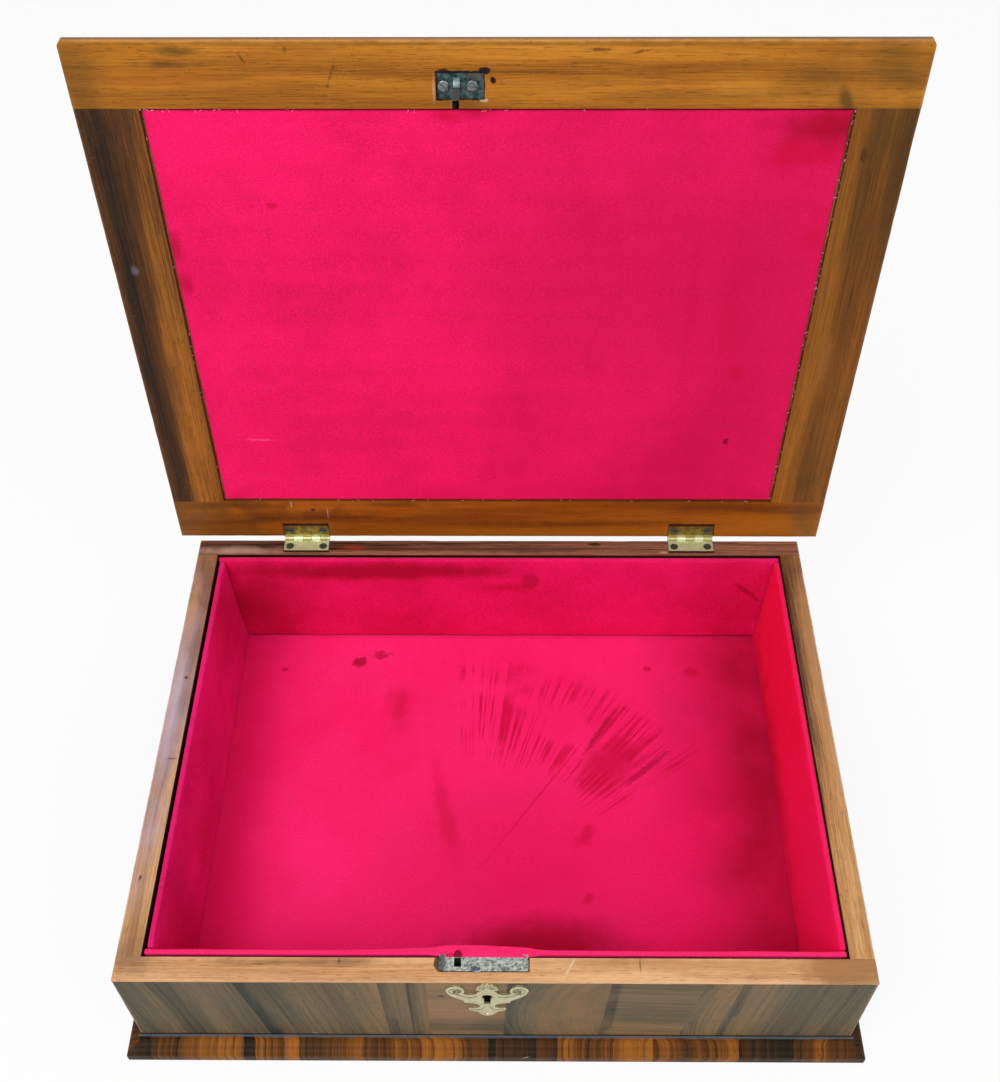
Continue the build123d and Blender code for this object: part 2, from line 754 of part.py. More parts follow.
spring_top = board_height
spring_low = bolt_body_low + bolt_body_height + spring_clearance
with BuildPart() as lock_spring:
    with BuildSketch(Plane.XZ.offset(-bolt_y - spring_height / 2)) as strip:
        with BuildLine() as bow:
            left_top = (spring_centre_x - spring_length / 2, spring_top)
            right_top = (spring_centre_x + spring_length / 2, spring_top)
            left_low = (left_top[0], spring_top - spring_thickness)
            right_low = (right_top[0], spring_top - spring_thickness)
            ThreePointArc(left_low, (spring_centre_x, spring_low), right_low)
            Line(right_low, right_top)
            ThreePointArc(right_top, (spring_centre_x, spring_low + spring_thickness), left_top)
            Line(left_top, left_low)
        make_face()
    extrude(amount=spring_height)
save(lock_spring, "lock_spring")

lock_screw_frame = Plane(origin=(0, selvedge_back, 0), x_dir=(-1, 0, 0), z_dir=(0, 1, 0))
countersunk_screws(lock_screw_frame, [(-x, z) for x, z in lock_screw_points], lock_screw_head,
                   lock_screw_shank, back_plate_thickness, lock_screw_length, "lock_screws")


# ======================================================================================
# Escutcheon, a pierced plate with a shell crest, scrolled wings and a lobed foot
# ======================================================================================
def half_plate():
    """Right half of the plate below the crest, from the axis round the wing to the foot."""
    with BuildSketch() as half:
        with BuildLine():
            last = scutcheon_top
            for curve in scutcheon_curves:
                if curve[0] != last:
                    Line(last, curve[0])
                Spline(*curve)
                last = curve[-1]
            Line(last, scutcheon_top)
        make_face()
    return half.sketch


scutcheon_plane = Plane(origin=(key_x, -half_depth, key_height), x_dir=(1, 0, 0),
                        z_dir=(0, -1, 0))
with BuildPart() as escutcheon:
    with BuildSketch(scutcheon_plane) as plate:
        add(half_plate())
        add(mirror(half_plate(), about=Plane.YZ, mode=Mode.PRIVATE))
        with Locations((0, shell_centre)):
            Circle(shell_radius)
        for index in range(shell_flute_count):
            flute_angle = radians(180 * index / (shell_flute_count - 1))
            with Locations((shell_radius * cos(flute_angle),
                            shell_centre + shell_radius * sin(flute_angle))):
                Circle(shell_flute_radius)
    extrude(plate.sketch, amount=scutcheon_thickness)
    extrude(key_outline(front_face, 0), amount=scutcheon_thickness, mode=Mode.SUBTRACT)
    with BuildSketch(front_face) as pin_holes:
        with Locations(*scutcheon_pin_points):
            Circle(scutcheon_pin_radius)
    extrude(pin_holes.sketch, amount=scutcheon_thickness, mode=Mode.SUBTRACT)
save(escutcheon, "escutcheon")

with BuildPart() as escutcheon_pins:
    with BuildSketch(front_face) as pin_rounds:
        with Locations(*scutcheon_pin_points):
            Circle(scutcheon_pin_radius)
    extrude(pin_rounds.sketch, amount=scutcheon_thickness)
    extrude(pin_rounds.sketch, amount=-scutcheon_pin_length)
    with BuildSketch(front_face.offset(scutcheon_thickness)) as pin_heads:
        with Locations(*scutcheon_pin_points):
            Circle(scutcheon_pin_head)
    extrude(pin_heads.sketch, amount=scutcheon_pin_radius, taper=scutcheon_pin_taper)
save(escutcheon_pins, "escutcheon_pins")

# ======================================================================================
# Hinges
# ======================================================================================
lid_knuckles = range(0, knuckle_count, 2)
case_knuckles = range(1, knuckle_count, 2)
for name, hinge_x in (("left", -hinge_spread), ("right", hinge_spread)):
    hinge_leaf(case_leaf_frame(hinge_x), case_knuckles, lid_knuckles, pin_radius,
               f"{name}_hinge_case_leaf")
    hinge_leaf(lid_leaf_frame(hinge_x), lid_knuckles, case_knuckles, pin_radius + pin_clearance,
               f"{name}_hinge_lid_leaf")
    with BuildPart() as hinge_pin:
        with BuildSketch(section(case_leaf_frame(hinge_x), -hinge_length / 2)) as pin_section:
            Circle(pin_radius)
        extrude(pin_section.sketch, amount=hinge_length)
        chamfer(hinge_pin.edges(), pin_end_chamfer)
    save(hinge_pin, f"{name}_hinge_pin")

case_leaf_face = case_leaf_frame(0).offset(-lid_gap / 2)
lid_leaf_face = lid_leaf_frame(0).offset(-lid_gap / 2)
all_screws = [(x + side * hinge_spread, y) for side in (-1, 1) for x, y in screw_points()]
countersunk_screws(case_leaf_face, all_screws, screw_head_diameter, screw_shank_diameter,
                   leaf_thickness, case_screw_length, "hinge_case_screws")
countersunk_screws(lid_leaf_face, all_screws, screw_head_diameter, screw_shank_diameter,
                   leaf_thickness, lid_screw_length, "hinge_lid_screws")

# ======================================================================================
# Lid
# ======================================================================================
half_lid = lid_width / 2
opening_x = (-half_lid + left_stile_width, half_lid - right_stile_width)
opening_y = (back_rail_width, lid_depth - front_rail_width)
lid_top = lid_plane.offset(-frame_thickness)

with BuildPart() as lid_blank:
    slab(lid_plane, (-half_lid, half_lid), (0, lid_depth), -frame_thickness)
    # thumbnail moulding round the front and both ends; the back edge stays square
    top_edges = lid_blank.faces().sort_by(Axis(lid_origin, lid_face_dir))[0].edges()
    moulded = top_edges.sort_by(Axis(lid_origin, lid_reach_dir))[1:]
    fillet(moulded, moulding_radius)
    with BuildSketch(lid_plane) as lid_plan:
        with Locations((0, lid_depth / 2)):
            Rectangle(lid_width, lid_depth)
        fillet(lid_plan.vertices().group_by(Axis.Y)[-1], lid_corner_radius)
    extrude(lid_plan.sketch, amount=-frame_thickness, mode=Mode.INTERSECT)
    slab(lid_plane, opening_x, opening_y, -frame_thickness, Mode.SUBTRACT)
    slab(lid_top, (opening_x[0] - panel_rebate, opening_x[1] + panel_rebate),
         (opening_y[0] - panel_rebate, opening_y[1] + panel_rebate), panel_thickness, Mode.SUBTRACT)

# closed, the tongue hangs at tongue_front to tongue_back in the case
reach_front = half_depth - tongue_front
reach_back = half_depth - tongue_back
catch_y = (reach_front + catch_front_reach - catch_depth, reach_front + catch_front_reach)
catch_screw_points = [
    (catch_left + catch_screw_left, catch_y[0] + catch_screw_back),
    (catch_left + catch_width - catch_screw_right, catch_y[0] + catch_screw_back),
]
catch_face = lid_plane.offset(-catch_sink)
members = {
    "lid_back_rail": ((-half_lid, half_lid), (0, opening_y[0])),
    "lid_front_rail": ((-half_lid, half_lid), (opening_y[1], lid_depth)),
    "lid_left_stile": ((-half_lid, opening_x[0]), opening_y),
    "lid_right_stile": ((opening_x[1], half_lid), opening_y),
}
for name, (x_span, y_span) in members.items():
    with BuildPart() as member:
        add(lid_blank.part)
        slab(lid_plane, x_span, y_span, -frame_thickness, Mode.INTERSECT)
        if name == "lid_back_rail":
            for hinge_x in (-hinge_spread, hinge_spread):
                cut_hinge_seat(lid_leaf_frame(hinge_x))
                cut_screw_bores(lid_leaf_frame(hinge_x), lid_screw_length, screw_shank_diameter)
        if name == "lid_front_rail":
            slab(lid_plane, (catch_left, catch_left + catch_width), catch_y,
                 -catch_sink - catch_thickness, Mode.SUBTRACT)
            with BuildSketch(catch_face) as catch_bores:
                with Locations(*catch_screw_points):
                    Circle(catch_shank_diameter / 2)
            extrude(catch_bores.sketch, amount=-catch_screw_length, mode=Mode.SUBTRACT)
    save(member, name)

with BuildPart() as lid_panel:
    slab(lid_top, (opening_x[0] - panel_rebate, opening_x[1] + panel_rebate),
         (opening_y[0] - panel_rebate, opening_y[1] + panel_rebate), panel_thickness)
save(lid_panel, "lid_panel")

with BuildPart() as lid_field:
    field_edge = half_lid - moulding_radius - field_step
    slab(lid_top, (-field_edge, field_edge), (0, lid_depth - moulding_radius - field_step),
         -field_thickness)
save(lid_field, "lid_top_veneer")

lid_pad_back = frame_thickness - panel_thickness
with BuildPart() as lid_pad:
    slab(lid_plane.offset(-lid_pad_back), (opening_x[0] + lid_pad_gap, opening_x[1] - lid_pad_gap),
         (opening_y[0] + lid_pad_gap, opening_y[1] - lid_pad_gap), lid_pad_back - lid_pad_recess)
save(lid_pad, "lid_velvet_pad")

# ======================================================================================
# Catch: plate let into the front rail, tongue with an eye for the bolt, two screws
# ======================================================================================
with BuildPart() as catch_plate:
    with BuildSketch(catch_face) as catch_outline:
        with Locations((catch_left + catch_width / 2, sum(catch_y) / 2)):
            Rectangle(catch_width, catch_depth)
        with Locations(*catch_screw_points):
            Circle(catch_shank_diameter / 2, mode=Mode.SUBTRACT)
    extrude(catch_outline.sketch, amount=-catch_thickness)
save(catch_plate, "catch_plate")

tongue_plane = Plane(origin=lid_origin + Vector(tongue_x - tongue_thickness / 2, 0, 0),
                     x_dir=lid_reach_dir, z_dir=(1, 0, 0))
eye_centre = case_height + lid_gap - (bolt_body_low + bolt_tip_lift + bolt_tip_height / 2)
flare_mid = -catch_sink + (tongue_root_height + catch_sink) * flare_sag
with BuildPart() as catch_tongue:
    with BuildSketch(tongue_plane) as tongue_side:
        with BuildLine():
            Polyline((reach_back, tongue_root_height), (reach_back, tongue_length),
                     (reach_front, tongue_length), (reach_front, tongue_root_height))
            ThreePointArc((reach_front, tongue_root_height),
                          (reach_front + tongue_root_front * flare_sag, flare_mid),
                          (reach_front + tongue_root_front, -catch_sink))
            Line((reach_front + tongue_root_front, -catch_sink),
                 (reach_back - tongue_root_back, -catch_sink))
            ThreePointArc((reach_back - tongue_root_back, -catch_sink),
                          (reach_back - tongue_root_back * flare_sag, flare_mid),
                          (reach_back, tongue_root_height))
        make_face()
        with Locations(((reach_front + reach_back) / 2, eye_centre)):
            Rectangle(tongue_breadth - 2 * eye_margin, eye_height, mode=Mode.SUBTRACT)
    extrude(tongue_side.sketch, amount=tongue_thickness)
save(catch_tongue, "catch_tongue")

with BuildPart() as catch_screws:
    with BuildSketch(catch_face) as screw_shanks:
        with Locations(*catch_screw_points):
            Circle(catch_shank_diameter / 2)
    extrude(screw_shanks.sketch, amount=-catch_screw_length)
    with BuildSketch(catch_face) as screw_heads:
        with Locations(*catch_screw_points):
            Circle(catch_head_radius)
    extrude(screw_heads.sketch, amount=catch_head_height)
    head_faces = catch_screws.faces().group_by(Axis(lid_origin, lid_face_dir))[-1]
    fillet(head_faces.edges(), catch_head_height - slot_depth / 2)
    with BuildSketch(catch_face.offset(catch_head_height)) as head_slots:
        for (x, y), turn in zip(catch_screw_points, catch_slot_turns):
            with Locations(Location((x, y, 0), (0, 0, turn))):
                Rectangle(2 * catch_head_radius, slot_width)
    extrude(head_slots.sketch, amount=-slot_depth, mode=Mode.SUBTRACT)
save(catch_screws, "catch_screws")
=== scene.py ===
"""Surfaces, soft goods, small trim, studio and camera of a velvet-lined walnut box."""

import json
import logging
import math
import random
from dataclasses import dataclass, field, replace
from enum import Enum
from typing import Callable, Iterable, Sequence

import bmesh
import bpy
from bmesh.types import BMEdge, BMesh, BMFace, BMLayerItem, BMVert
from bpy.types import Material, Node, NodeSocket, NodeTree, Object
from mathutils import Matrix, Vector, noise


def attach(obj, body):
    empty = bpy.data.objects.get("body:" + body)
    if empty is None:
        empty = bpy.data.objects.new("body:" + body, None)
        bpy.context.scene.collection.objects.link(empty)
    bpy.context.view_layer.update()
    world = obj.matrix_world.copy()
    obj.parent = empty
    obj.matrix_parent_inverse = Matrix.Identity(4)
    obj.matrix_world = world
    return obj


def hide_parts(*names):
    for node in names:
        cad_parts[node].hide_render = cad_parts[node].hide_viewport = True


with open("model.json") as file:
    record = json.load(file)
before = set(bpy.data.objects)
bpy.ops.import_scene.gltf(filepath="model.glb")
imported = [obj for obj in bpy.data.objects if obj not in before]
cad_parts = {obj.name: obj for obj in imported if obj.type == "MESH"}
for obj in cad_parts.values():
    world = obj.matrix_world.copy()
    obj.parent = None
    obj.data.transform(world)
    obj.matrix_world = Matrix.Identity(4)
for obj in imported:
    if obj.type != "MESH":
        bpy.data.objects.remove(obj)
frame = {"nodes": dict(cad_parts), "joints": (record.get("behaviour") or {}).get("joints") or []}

MM = 0.001
GRAIN, WEAR, TONE = "grain", "wear", "tone"
STALE_NORMALS = "custom_normal"
CUT_SLACK = 1e-6
SETTLING_FRAMES = 20
UNCUT = (0.0, 0.0, 0.0)
Colour = tuple[float, float, float]
Triple = tuple[float, float, float]

log = logging.getLogger("box")


def srgb(red: float, green: float, blue: float) -> Colour:
    """Turn a colour as a screen shows it into the linear values that a shader takes.

    Args:
        red: The red part, from 0 to 255.
        green: The green part.
        blue: The blue part.

    Returns:
        The linear colour.
    """
    def linear(value: float) -> float:
        """Turn one part into its linear value."""
        share = value / 255
        return share / 12.92 if share <= 0.04045 else ((share + 0.055) / 1.055) ** 2.4
    return linear(red), linear(green), linear(blue)


class Body(Enum):
    """The bodies that a made piece rides on."""

    CASE = "case"
    LID = "lid"


class Slot(Enum):
    """The record's material slots; each made piece names one, and nothing reads it."""

    PINE = "pine"
    WALNUT_DARK = "walnut_dark"
    WALNUT_HONEY = "walnut_honey"
    WALNUT_RED = "walnut_red"
    VELVET = "velvet"
    BRASS = "brass"


class Along(Enum):
    """The axis, in a piece's own space, that its grain runs along."""

    X = 0
    Y = 1
    Z = 2


# ----- Spaces: the case's own is the frame; the lid's lies flat in its underside -----
@dataclass(frozen=True)
class LidSpace:
    """The lid's own axes: x along the hinge, y from the back edge, z out of the underside."""

    barrel_offset: float = 1.8 * MM
    half_gap: float = 0.4 * MM

    def matrix(self) -> Matrix:
        """Place the lid's own axes in the frame, from the hinge joint.

        Returns:
            The matrix that carries a point of the lid's space into the frame.
        """
        hinge = next(joint for joint in frame["joints"] if joint["name"] == "lid_hinge")
        turn = math.radians(max(hinge["range_deg"]))
        reach = Vector((0, -math.cos(turn), math.sin(turn)))
        face = Vector((0, -math.sin(turn), -math.cos(turn)))
        origin = Vector(hinge["pos_m"]) + reach * self.barrel_offset - face * self.half_gap
        return Matrix(((1, reach.x, face.x, origin.x), (0, reach.y, face.y, origin.y),
                       (0, reach.z, face.z, origin.z), (0, 0, 0, 1)))


CASE_SPACE = Matrix.Identity(4)
LID_SPACE = LidSpace().matrix()


def on_lid(x: float, reach: float, rise: float = 0.0) -> Triple:
    """Place, in the frame, of a point of the lid's underside, from millimetres."""
    return tuple(LID_SPACE @ Vector((x * MM, reach * MM, rise * MM)))


def millimetres(*values: float) -> Triple:
    """Turn millimetres into metres."""
    return tuple(value * MM for value in values)


def clamped(value: float) -> float:
    """Keep a number between 0 and 1."""
    return min(1.0, max(0.0, value))


def hat(value: float, low: float, peak: float, high: float) -> float:
    """Rise from 0 at low to 1 at the peak and fall back to 0 at high."""
    return max(0.0, min((value - low) / (peak - low), (high - value) / (high - peak)))


# ----- Node trees -----
class Wiring:
    """Short calls that add nodes to one tree and join them."""

    def __init__(self, tree: NodeTree) -> None:
        """Keep the tree that the calls work on."""
        self.tree = tree

    def node(self, kind: str, *values: object, **settings: object) -> Node:
        """Add one node.

        Args:
            kind: The node's type.
            values: Numbers, vectors or sockets for its first inputs.
            settings: Its own options.

        Returns:
            The new node.
        """
        made = self.tree.nodes.new(kind)
        for name, value in settings.items():
            setattr(made, name, value)
        for socket, value in zip(made.inputs, values):
            self.put(socket, value)
        return made

    def put(self, socket: NodeSocket, value: object) -> None:
        """Link a socket to another, or set its constant.

        Args:
            socket: The input that takes the value.
            value: An output, a number, a vector, or a colour without its alpha.
        """
        if isinstance(value, NodeSocket):
            self.tree.links.new(value, socket)
        elif isinstance(value, tuple) and socket.type == "RGBA":
            socket.default_value = (*value, 1.0)
        else:
            socket.default_value = value

    def give(self, node: Node, values: dict[str, object]) -> None:
        """Link or set a node's inputs by their names."""
        for title, value in values.items():
            self.put(node.inputs[title], value)

    def math(self, operation: str, *values: object, clamp: bool = False) -> NodeSocket:
        """Combine numbers with one Math node."""
        return self.node("ShaderNodeMath", *values, operation=operation, use_clamp=clamp).outputs[0]

    def product(self, *values: object, clamp: bool = False) -> NodeSocket:
        """Multiply two numbers."""
        return self.math("MULTIPLY", *values, clamp=clamp)

    def scaled(self, value: object, scale: object, base: object, clamp: bool = False) -> NodeSocket:
        """Add a scaled number to a base."""
        return self.math("MULTIPLY_ADD", value, scale, base, clamp=clamp)

    def centred(self, value: object) -> NodeSocket:
        """Shift a number that lies round 0.5, so that it lies round 0."""
        return self.math("SUBTRACT", value, 0.5)

    def combine(self, operation: str, *values: object) -> NodeSocket:
        """Combine vectors with one Vector Math node."""
        made = self.node("ShaderNodeVectorMath", *values, operation=operation)
        return made.outputs["Value" if operation == "LENGTH" else "Vector"]

    def times(self, vector: object, scale: float | Triple) -> NodeSocket:
        """Stretch a vector, evenly or by three numbers."""
        return self.combine("MULTIPLY", vector, scale if isinstance(scale, tuple) else (scale,) * 3)

    def turned(self, vector: object, turn: object) -> NodeSocket:
        """Turn a vector about the origin.

        Args:
            vector: The vector.
            turn: The turn about each axis, in radians.

        Returns:
            The turned vector.
        """
        made = self.node("ShaderNodeMapping", vector, vector_type="POINT")
        self.put(made.inputs["Rotation"], turn)
        return made.outputs[0]

    def parts(self, vector: object) -> list[NodeSocket]:
        """Take a vector apart."""
        return list(self.node("ShaderNodeSeparateXYZ", vector).outputs)

    def vector(self, *values: object) -> NodeSocket:
        """Put a vector together."""
        return self.node("ShaderNodeCombineXYZ", *values).outputs[0]

    def noise(self, vector: object, detail: float = 2.0, scale: object = 1.0,
              rough: float = 0.5) -> NodeSocket:
        """Sample noise on a vector.

        Args:
            vector: Where the noise is read.
            detail: How many finer layers it has.
            scale: How close its lumps lie.
            rough: How strong the finer layers are.

        Returns:
            A number round 0.5.
        """
        made = self.node("ShaderNodeTexNoise", vector)
        self.give(made, {"Scale": scale, "Detail": detail, "Roughness": rough})
        return made.outputs["Fac"]

    def lumps(self, vector: object, scale: float | Triple, detail: float = 2.0,
              rough: float = 0.5) -> NodeSocket:
        """Sample noise on a stretched vector."""
        return self.noise(self.times(vector, scale), detail, rough=rough)

    def step(self, value: object, low: object, high: object, start: float = 0.0,
             end: float = 1.0) -> NodeSocket:
        """Ease from start to end while the value goes from low to high."""
        return self.node("ShaderNodeMapRange", value, low, high, start, end,
                         interpolation_type="SMOOTHSTEP").outputs[0]

    def mix(self, factor: object, first: object, second: object,
            blend: str = "MIX") -> NodeSocket:
        """Blend two colours.

        Args:
            factor: How much of the second shows.
            first: The lower colour.
            second: The upper colour.
            blend: Blender's name for the way they blend.

        Returns:
            The blended colour.
        """
        made = self.node("ShaderNodeMix", data_type="RGBA", blend_type=blend)
        for index, value in ((0, factor), (6, first), (7, second)):
            self.put(made.inputs[index], value)
        return made.outputs[2]

    def ramp(self, factor: object, stops: Sequence[tuple[float, Colour]]) -> NodeSocket:
        """Colour a number by a row of stops.

        Args:
            factor: The number.
            stops: Places from 0 to 1, each with its colour.

        Returns:
            The colour.
        """
        made = self.node("ShaderNodeValToRGB", factor)
        band = made.color_ramp
        while len(band.elements) < len(stops):
            band.elements.new(0.5)
        for element, (place, colour) in zip(band.elements, stops):
            element.position = place
            element.color = (*colour, 1.0)
        return made.outputs[0]

    def grey(self, value: object) -> NodeSocket:
        """Make a grey of a number, for multiplying into a colour."""
        return self.node("ShaderNodeCombineColor", value, value, value).outputs[0]

    def attribute(self, name: str) -> Node:
        """Read one of the mesh's own attributes."""
        return self.node("ShaderNodeAttribute", attribute_name=name)

    def effect(self, tree: NodeTree, **values: object) -> dict[str, NodeSocket]:
        """Place a shared effect with this material's own values.

        Args:
            tree: The effect's node group.
            values: Its inputs, each by its name in small letters.

        Returns:
            Its outputs by name.
        """
        made = self.node("ShaderNodeGroup", node_tree=tree)
        self.give(made, {name.title(): value for name, value in values.items()})
        return {socket.name: socket for socket in made.outputs}

    def bump(self, height: object, strength: float, depth: float) -> NodeSocket:
        """Raise the surface by a height.

        Args:
            height: The height at each point.
            strength: How much of it shows.
            depth: How far, in metres, a height of 1 rises.

        Returns:
            The raised surface's normal.
        """
        made = self.node("ShaderNodeBump")
        self.give(made, {"Height": height, "Strength": strength, "Distance": depth})
        return made.outputs[0]

    def seen_by(self, *rays: str) -> NodeSocket:
        """Tell the rays that look from the others.

        Args:
            rays: The kinds of ray that look, by Blender's names.

        Returns:
            1 for those rays and 0 for the others.
        """
        path = self.node("ShaderNodeLightPath")
        first, *others = (path.outputs[f"Is {ray} Ray"] for ray in rays)
        for other in others:
            first = self.math("MAXIMUM", first, other)
        return first


FLOAT, VECTOR = "NodeSocketFloat", "NodeSocketVector"
Sockets = dict[str, NodeSocket]


def shared_effect(name: str, takes: dict[str, tuple[str, object]], gives: Sequence[str],
                  fill: Callable[[Wiring, Sockets, Sockets], None]) -> NodeTree:
    """Build one node group.

    Args:
        name: The group's name.
        takes: Each input's name with its socket kind and default.
        gives: The names of its outputs, all of them numbers.
        fill: Joins the inputs to the outputs.

    Returns:
        The finished group.
    """
    tree = bpy.data.node_groups.new(name, "ShaderNodeTree")
    for title, (kind, default) in takes.items():
        socket = tree.interface.new_socket(title, in_out="INPUT", socket_type=kind)
        if default is not None:
            socket.default_value = default
    for title in gives:
        tree.interface.new_socket(title, in_out="OUTPUT", socket_type=FLOAT)
    wiring = Wiring(tree)
    entry, leave = wiring.node("NodeGroupInput"), wiring.node("NodeGroupOutput")
    fill(wiring, {s.name: s for s in entry.outputs}, {s.name: s for s in leave.inputs})
    return tree


def fill_grain(w: Wiring, take: Sockets, give: Sockets) -> None:
    """Growth rings, broad bands, fibre and pores; the grain runs along the vector's x.

    Args:
        w: The group's wiring.
        take: Its inputs by name.
        give: Its outputs by name.
    """
    place = take["Vector"]
    along, across, deep = w.parts(place)
    meander = w.centred(w.lumps(place, (5.0, 24.0, 24.0)))
    ripple = w.centred(w.lumps(place, (22.0, 170.0, 170.0), 3.0))
    bent = w.scaled(meander, take["Waviness"], across)
    bent = w.scaled(ripple, w.product(take["Pitch"], 0.5), bent)
    turns = w.math("DIVIDE", bent, take["Pitch"])
    uneven = w.centred(w.noise(w.vector(0.0, w.product(turns, 0.37), 0.0)))
    turns = w.scaled(uneven, 3.2, turns)
    shown = w.noise(w.vector(w.product(turns, 0.31), 4.0, 0.0), 1.0)
    ring = w.product(w.math("POWER", w.math("FRACT", turns), 3.0), w.step(shown, 0.36, 0.58))
    band = w.noise(w.vector(w.product(along, 1.6), w.product(bent, 46.0), w.product(deep, 16.0)), 3.0)
    w.put(give["Ring"], ring)
    w.put(give["Band"], w.step(band, 0.28, 0.72))
    w.put(give["Fibre"], w.lumps(place, (26.0, 1500.0, 1500.0)))
    w.put(give["Pore"], w.step(w.lumps(place, (130.0, 2300.0, 2300.0), 1.0), 0.60, 0.70))


def fill_wear(w: Wiring, take: Sockets, give: Sockets) -> None:
    """Rubbed arrises: the mesh's own wear value, broken up along the edge.

    Args:
        w: The group's wiring.
        take: Its inputs by name.
        give: Its outputs by name.
    """
    broken = w.lumps(take["Vector"], 90.0, 4.0, 0.65)
    rubbed = w.product(w.math("POWER", take["Wear"], 1.6), w.step(broken, 0.25, 0.62))
    w.put(give["Mask"], w.product(rubbed, take["Amount"], clamp=True))


def fill_grime(w: Wiring, take: Sockets, give: Sockets) -> None:
    """Soft patches of handling dirt and small specks.

    Args:
        w: The group's wiring.
        take: Its inputs by name.
        give: Its outputs by name.
    """
    patch = w.lumps(take["Vector"], 14.0, 5.0, 0.6)
    speck = w.lumps(take["Vector"], 420.0, 1.0)
    w.put(give["Patch"], w.product(w.step(patch, 0.50, 0.78), take["Amount"]))
    w.put(give["Speck"], w.product(w.step(speck, 0.74, 0.80), take["Amount"]))


def fill_scratches(w: Wiring, take: Sockets, give: Sockets) -> None:
    """Hairline scratches in two directions.

    Args:
        w: The group's wiring.
        take: Its inputs by name.
        give: Its outputs by name.
    """
    marks = []
    for turn in (0.35, -1.1):
        line = w.lumps(w.turned(take["Vector"], (turn, turn * 0.5, turn)), (22.0, 900.0, 900.0), 0.0)
        gate = w.lumps(take["Vector"], 30.0, 1.0)
        marks.append(w.product(w.step(line, 0.755, 0.79), w.step(gate, 0.5, 0.62)))
    w.put(give["Mask"], w.math("MAXIMUM", *marks))


def fill_pile(w: Wiring, take: Sockets, give: Sockets) -> None:
    """Velvet pile: short flecks of turned nap, fine rows of weave and wide soft patches.

    Args:
        w: The group's wiring.
        take: Its inputs by name.
        give: Its outputs by name.
    """
    place = take["Vector"]
    rows = w.math("SINE", w.product(w.parts(place)[1], 5200.0))
    w.put(give["Fleck"], w.step(w.lumps(place, (1500.0, 900.0, 1200.0)), 0.3, 0.7))
    w.put(give["Row"], w.scaled(rows, 0.5, 0.5))
    w.put(give["Patch"], w.step(w.lumps(place, 11.0, 6.0, 0.62), 0.32, 0.68))


def fill_tarnish(w: Wiring, take: Sockets, give: Sockets) -> None:
    """Mottled metal: cloudy tarnish, pits and fine brushing along x.

    Args:
        w: The group's wiring.
        take: Its inputs by name.
        give: Its outputs by name.
    """
    place = take["Vector"]
    w.put(give["Cloud"], w.step(w.lumps(place, 240.0, 5.0, 0.7), 0.36, 0.64))
    w.put(give["Pit"], w.step(w.lumps(place, 1100.0), 0.60, 0.68))
    w.put(give["Brush"], w.lumps(place, (140.0, 4200.0, 4200.0), 1.0))


def fill_spot(w: Wiring, take: Sockets, give: Sockets) -> None:
    """A round or square spot of a given size, with a ragged and soft border.

    Args:
        w: The group's wiring.
        take: Its inputs by name.
        give: Its outputs by name.
    """
    offset = w.turned(w.combine("SUBTRACT", take["Vector"], take["Place"]), take["Turn"])
    share = w.combine("LENGTH", w.combine("DIVIDE", offset, take["Size"]))
    round_reach = w.product(w.math("SUBTRACT", share, 1.0), take["Span"])
    beyond = w.parts(w.combine("SUBTRACT", w.combine("ABSOLUTE", offset), take["Size"]))
    square_reach = w.math("MAXIMUM", w.math("MAXIMUM", beyond[0], beyond[1]), beyond[2])
    reach = w.scaled(w.math("SUBTRACT", square_reach, round_reach), take["Square"], round_reach)
    wander = w.centred(w.noise(take["Vector"], 3.0, scale=take["Fine"]))
    reach = w.scaled(wander, take["Ragged"], reach)
    w.put(give["Mask"], w.step(reach, take["Soft"], w.product(take["Soft"], -1.0)))


@dataclass
class Effects:
    """The shader effects that several finishes share, each built once."""

    grain: NodeTree = field(init=False)
    wear: NodeTree = field(init=False)
    grime: NodeTree = field(init=False)
    scratches: NodeTree = field(init=False)
    pile: NodeTree = field(init=False)
    tarnish: NodeTree = field(init=False)
    spot: NodeTree = field(init=False)

    def __post_init__(self) -> None:
        """Build every group."""
        place = {"Vector": (VECTOR, None)}
        self.grain = shared_effect(
            "wood_grain", {**place, "Pitch": (FLOAT, 0.004), "Waviness": (FLOAT, 0.01)},
            ("Ring", "Band", "Fibre", "Pore"), fill_grain)
        self.wear = shared_effect(
            "arris_wear", {**place, "Wear": (FLOAT, 0.0), "Amount": (FLOAT, 1.0)},
            ("Mask",), fill_wear)
        self.grime = shared_effect(
            "handling_grime", {**place, "Amount": (FLOAT, 0.5)}, ("Patch", "Speck"), fill_grime)
        self.scratches = shared_effect("hairline_scratches", place, ("Mask",), fill_scratches)
        self.pile = shared_effect("velvet_pile", place, ("Fleck", "Row", "Patch"), fill_pile)
        self.tarnish = shared_effect(
            "metal_tarnish", place, ("Cloud", "Pit", "Brush"), fill_tarnish)
        self.spot = shared_effect(
            "ragged_spot", {**place, "Place": (VECTOR, None), "Size": (VECTOR, None),
                            "Turn": (VECTOR, None), "Span": (FLOAT, 1.0),
                            "Square": (FLOAT, 0.0), "Ragged": (FLOAT, 0.0),
                            "Soft": (FLOAT, 0.001), "Fine": (FLOAT, 100.0)},
            ("Mask",), fill_spot)


EFFECTS = Effects()


def new_material(name: str) -> tuple[Material, Wiring, Node]:
    """Start a material.

    Args:
        name: The finish's name.

    Returns:
        The material, the wiring of its tree and its Principled shader.
    """
    material = bpy.data.materials.new(name)
    material.use_nodes = True
    return material, Wiring(material.node_tree), material.node_tree.nodes["Principled BSDF"]


def own_place(w: Wiring) -> NodeSocket:
    """Read the piece's own coordinates."""
    return w.node("ShaderNodeTexCoord").outputs["Object"]


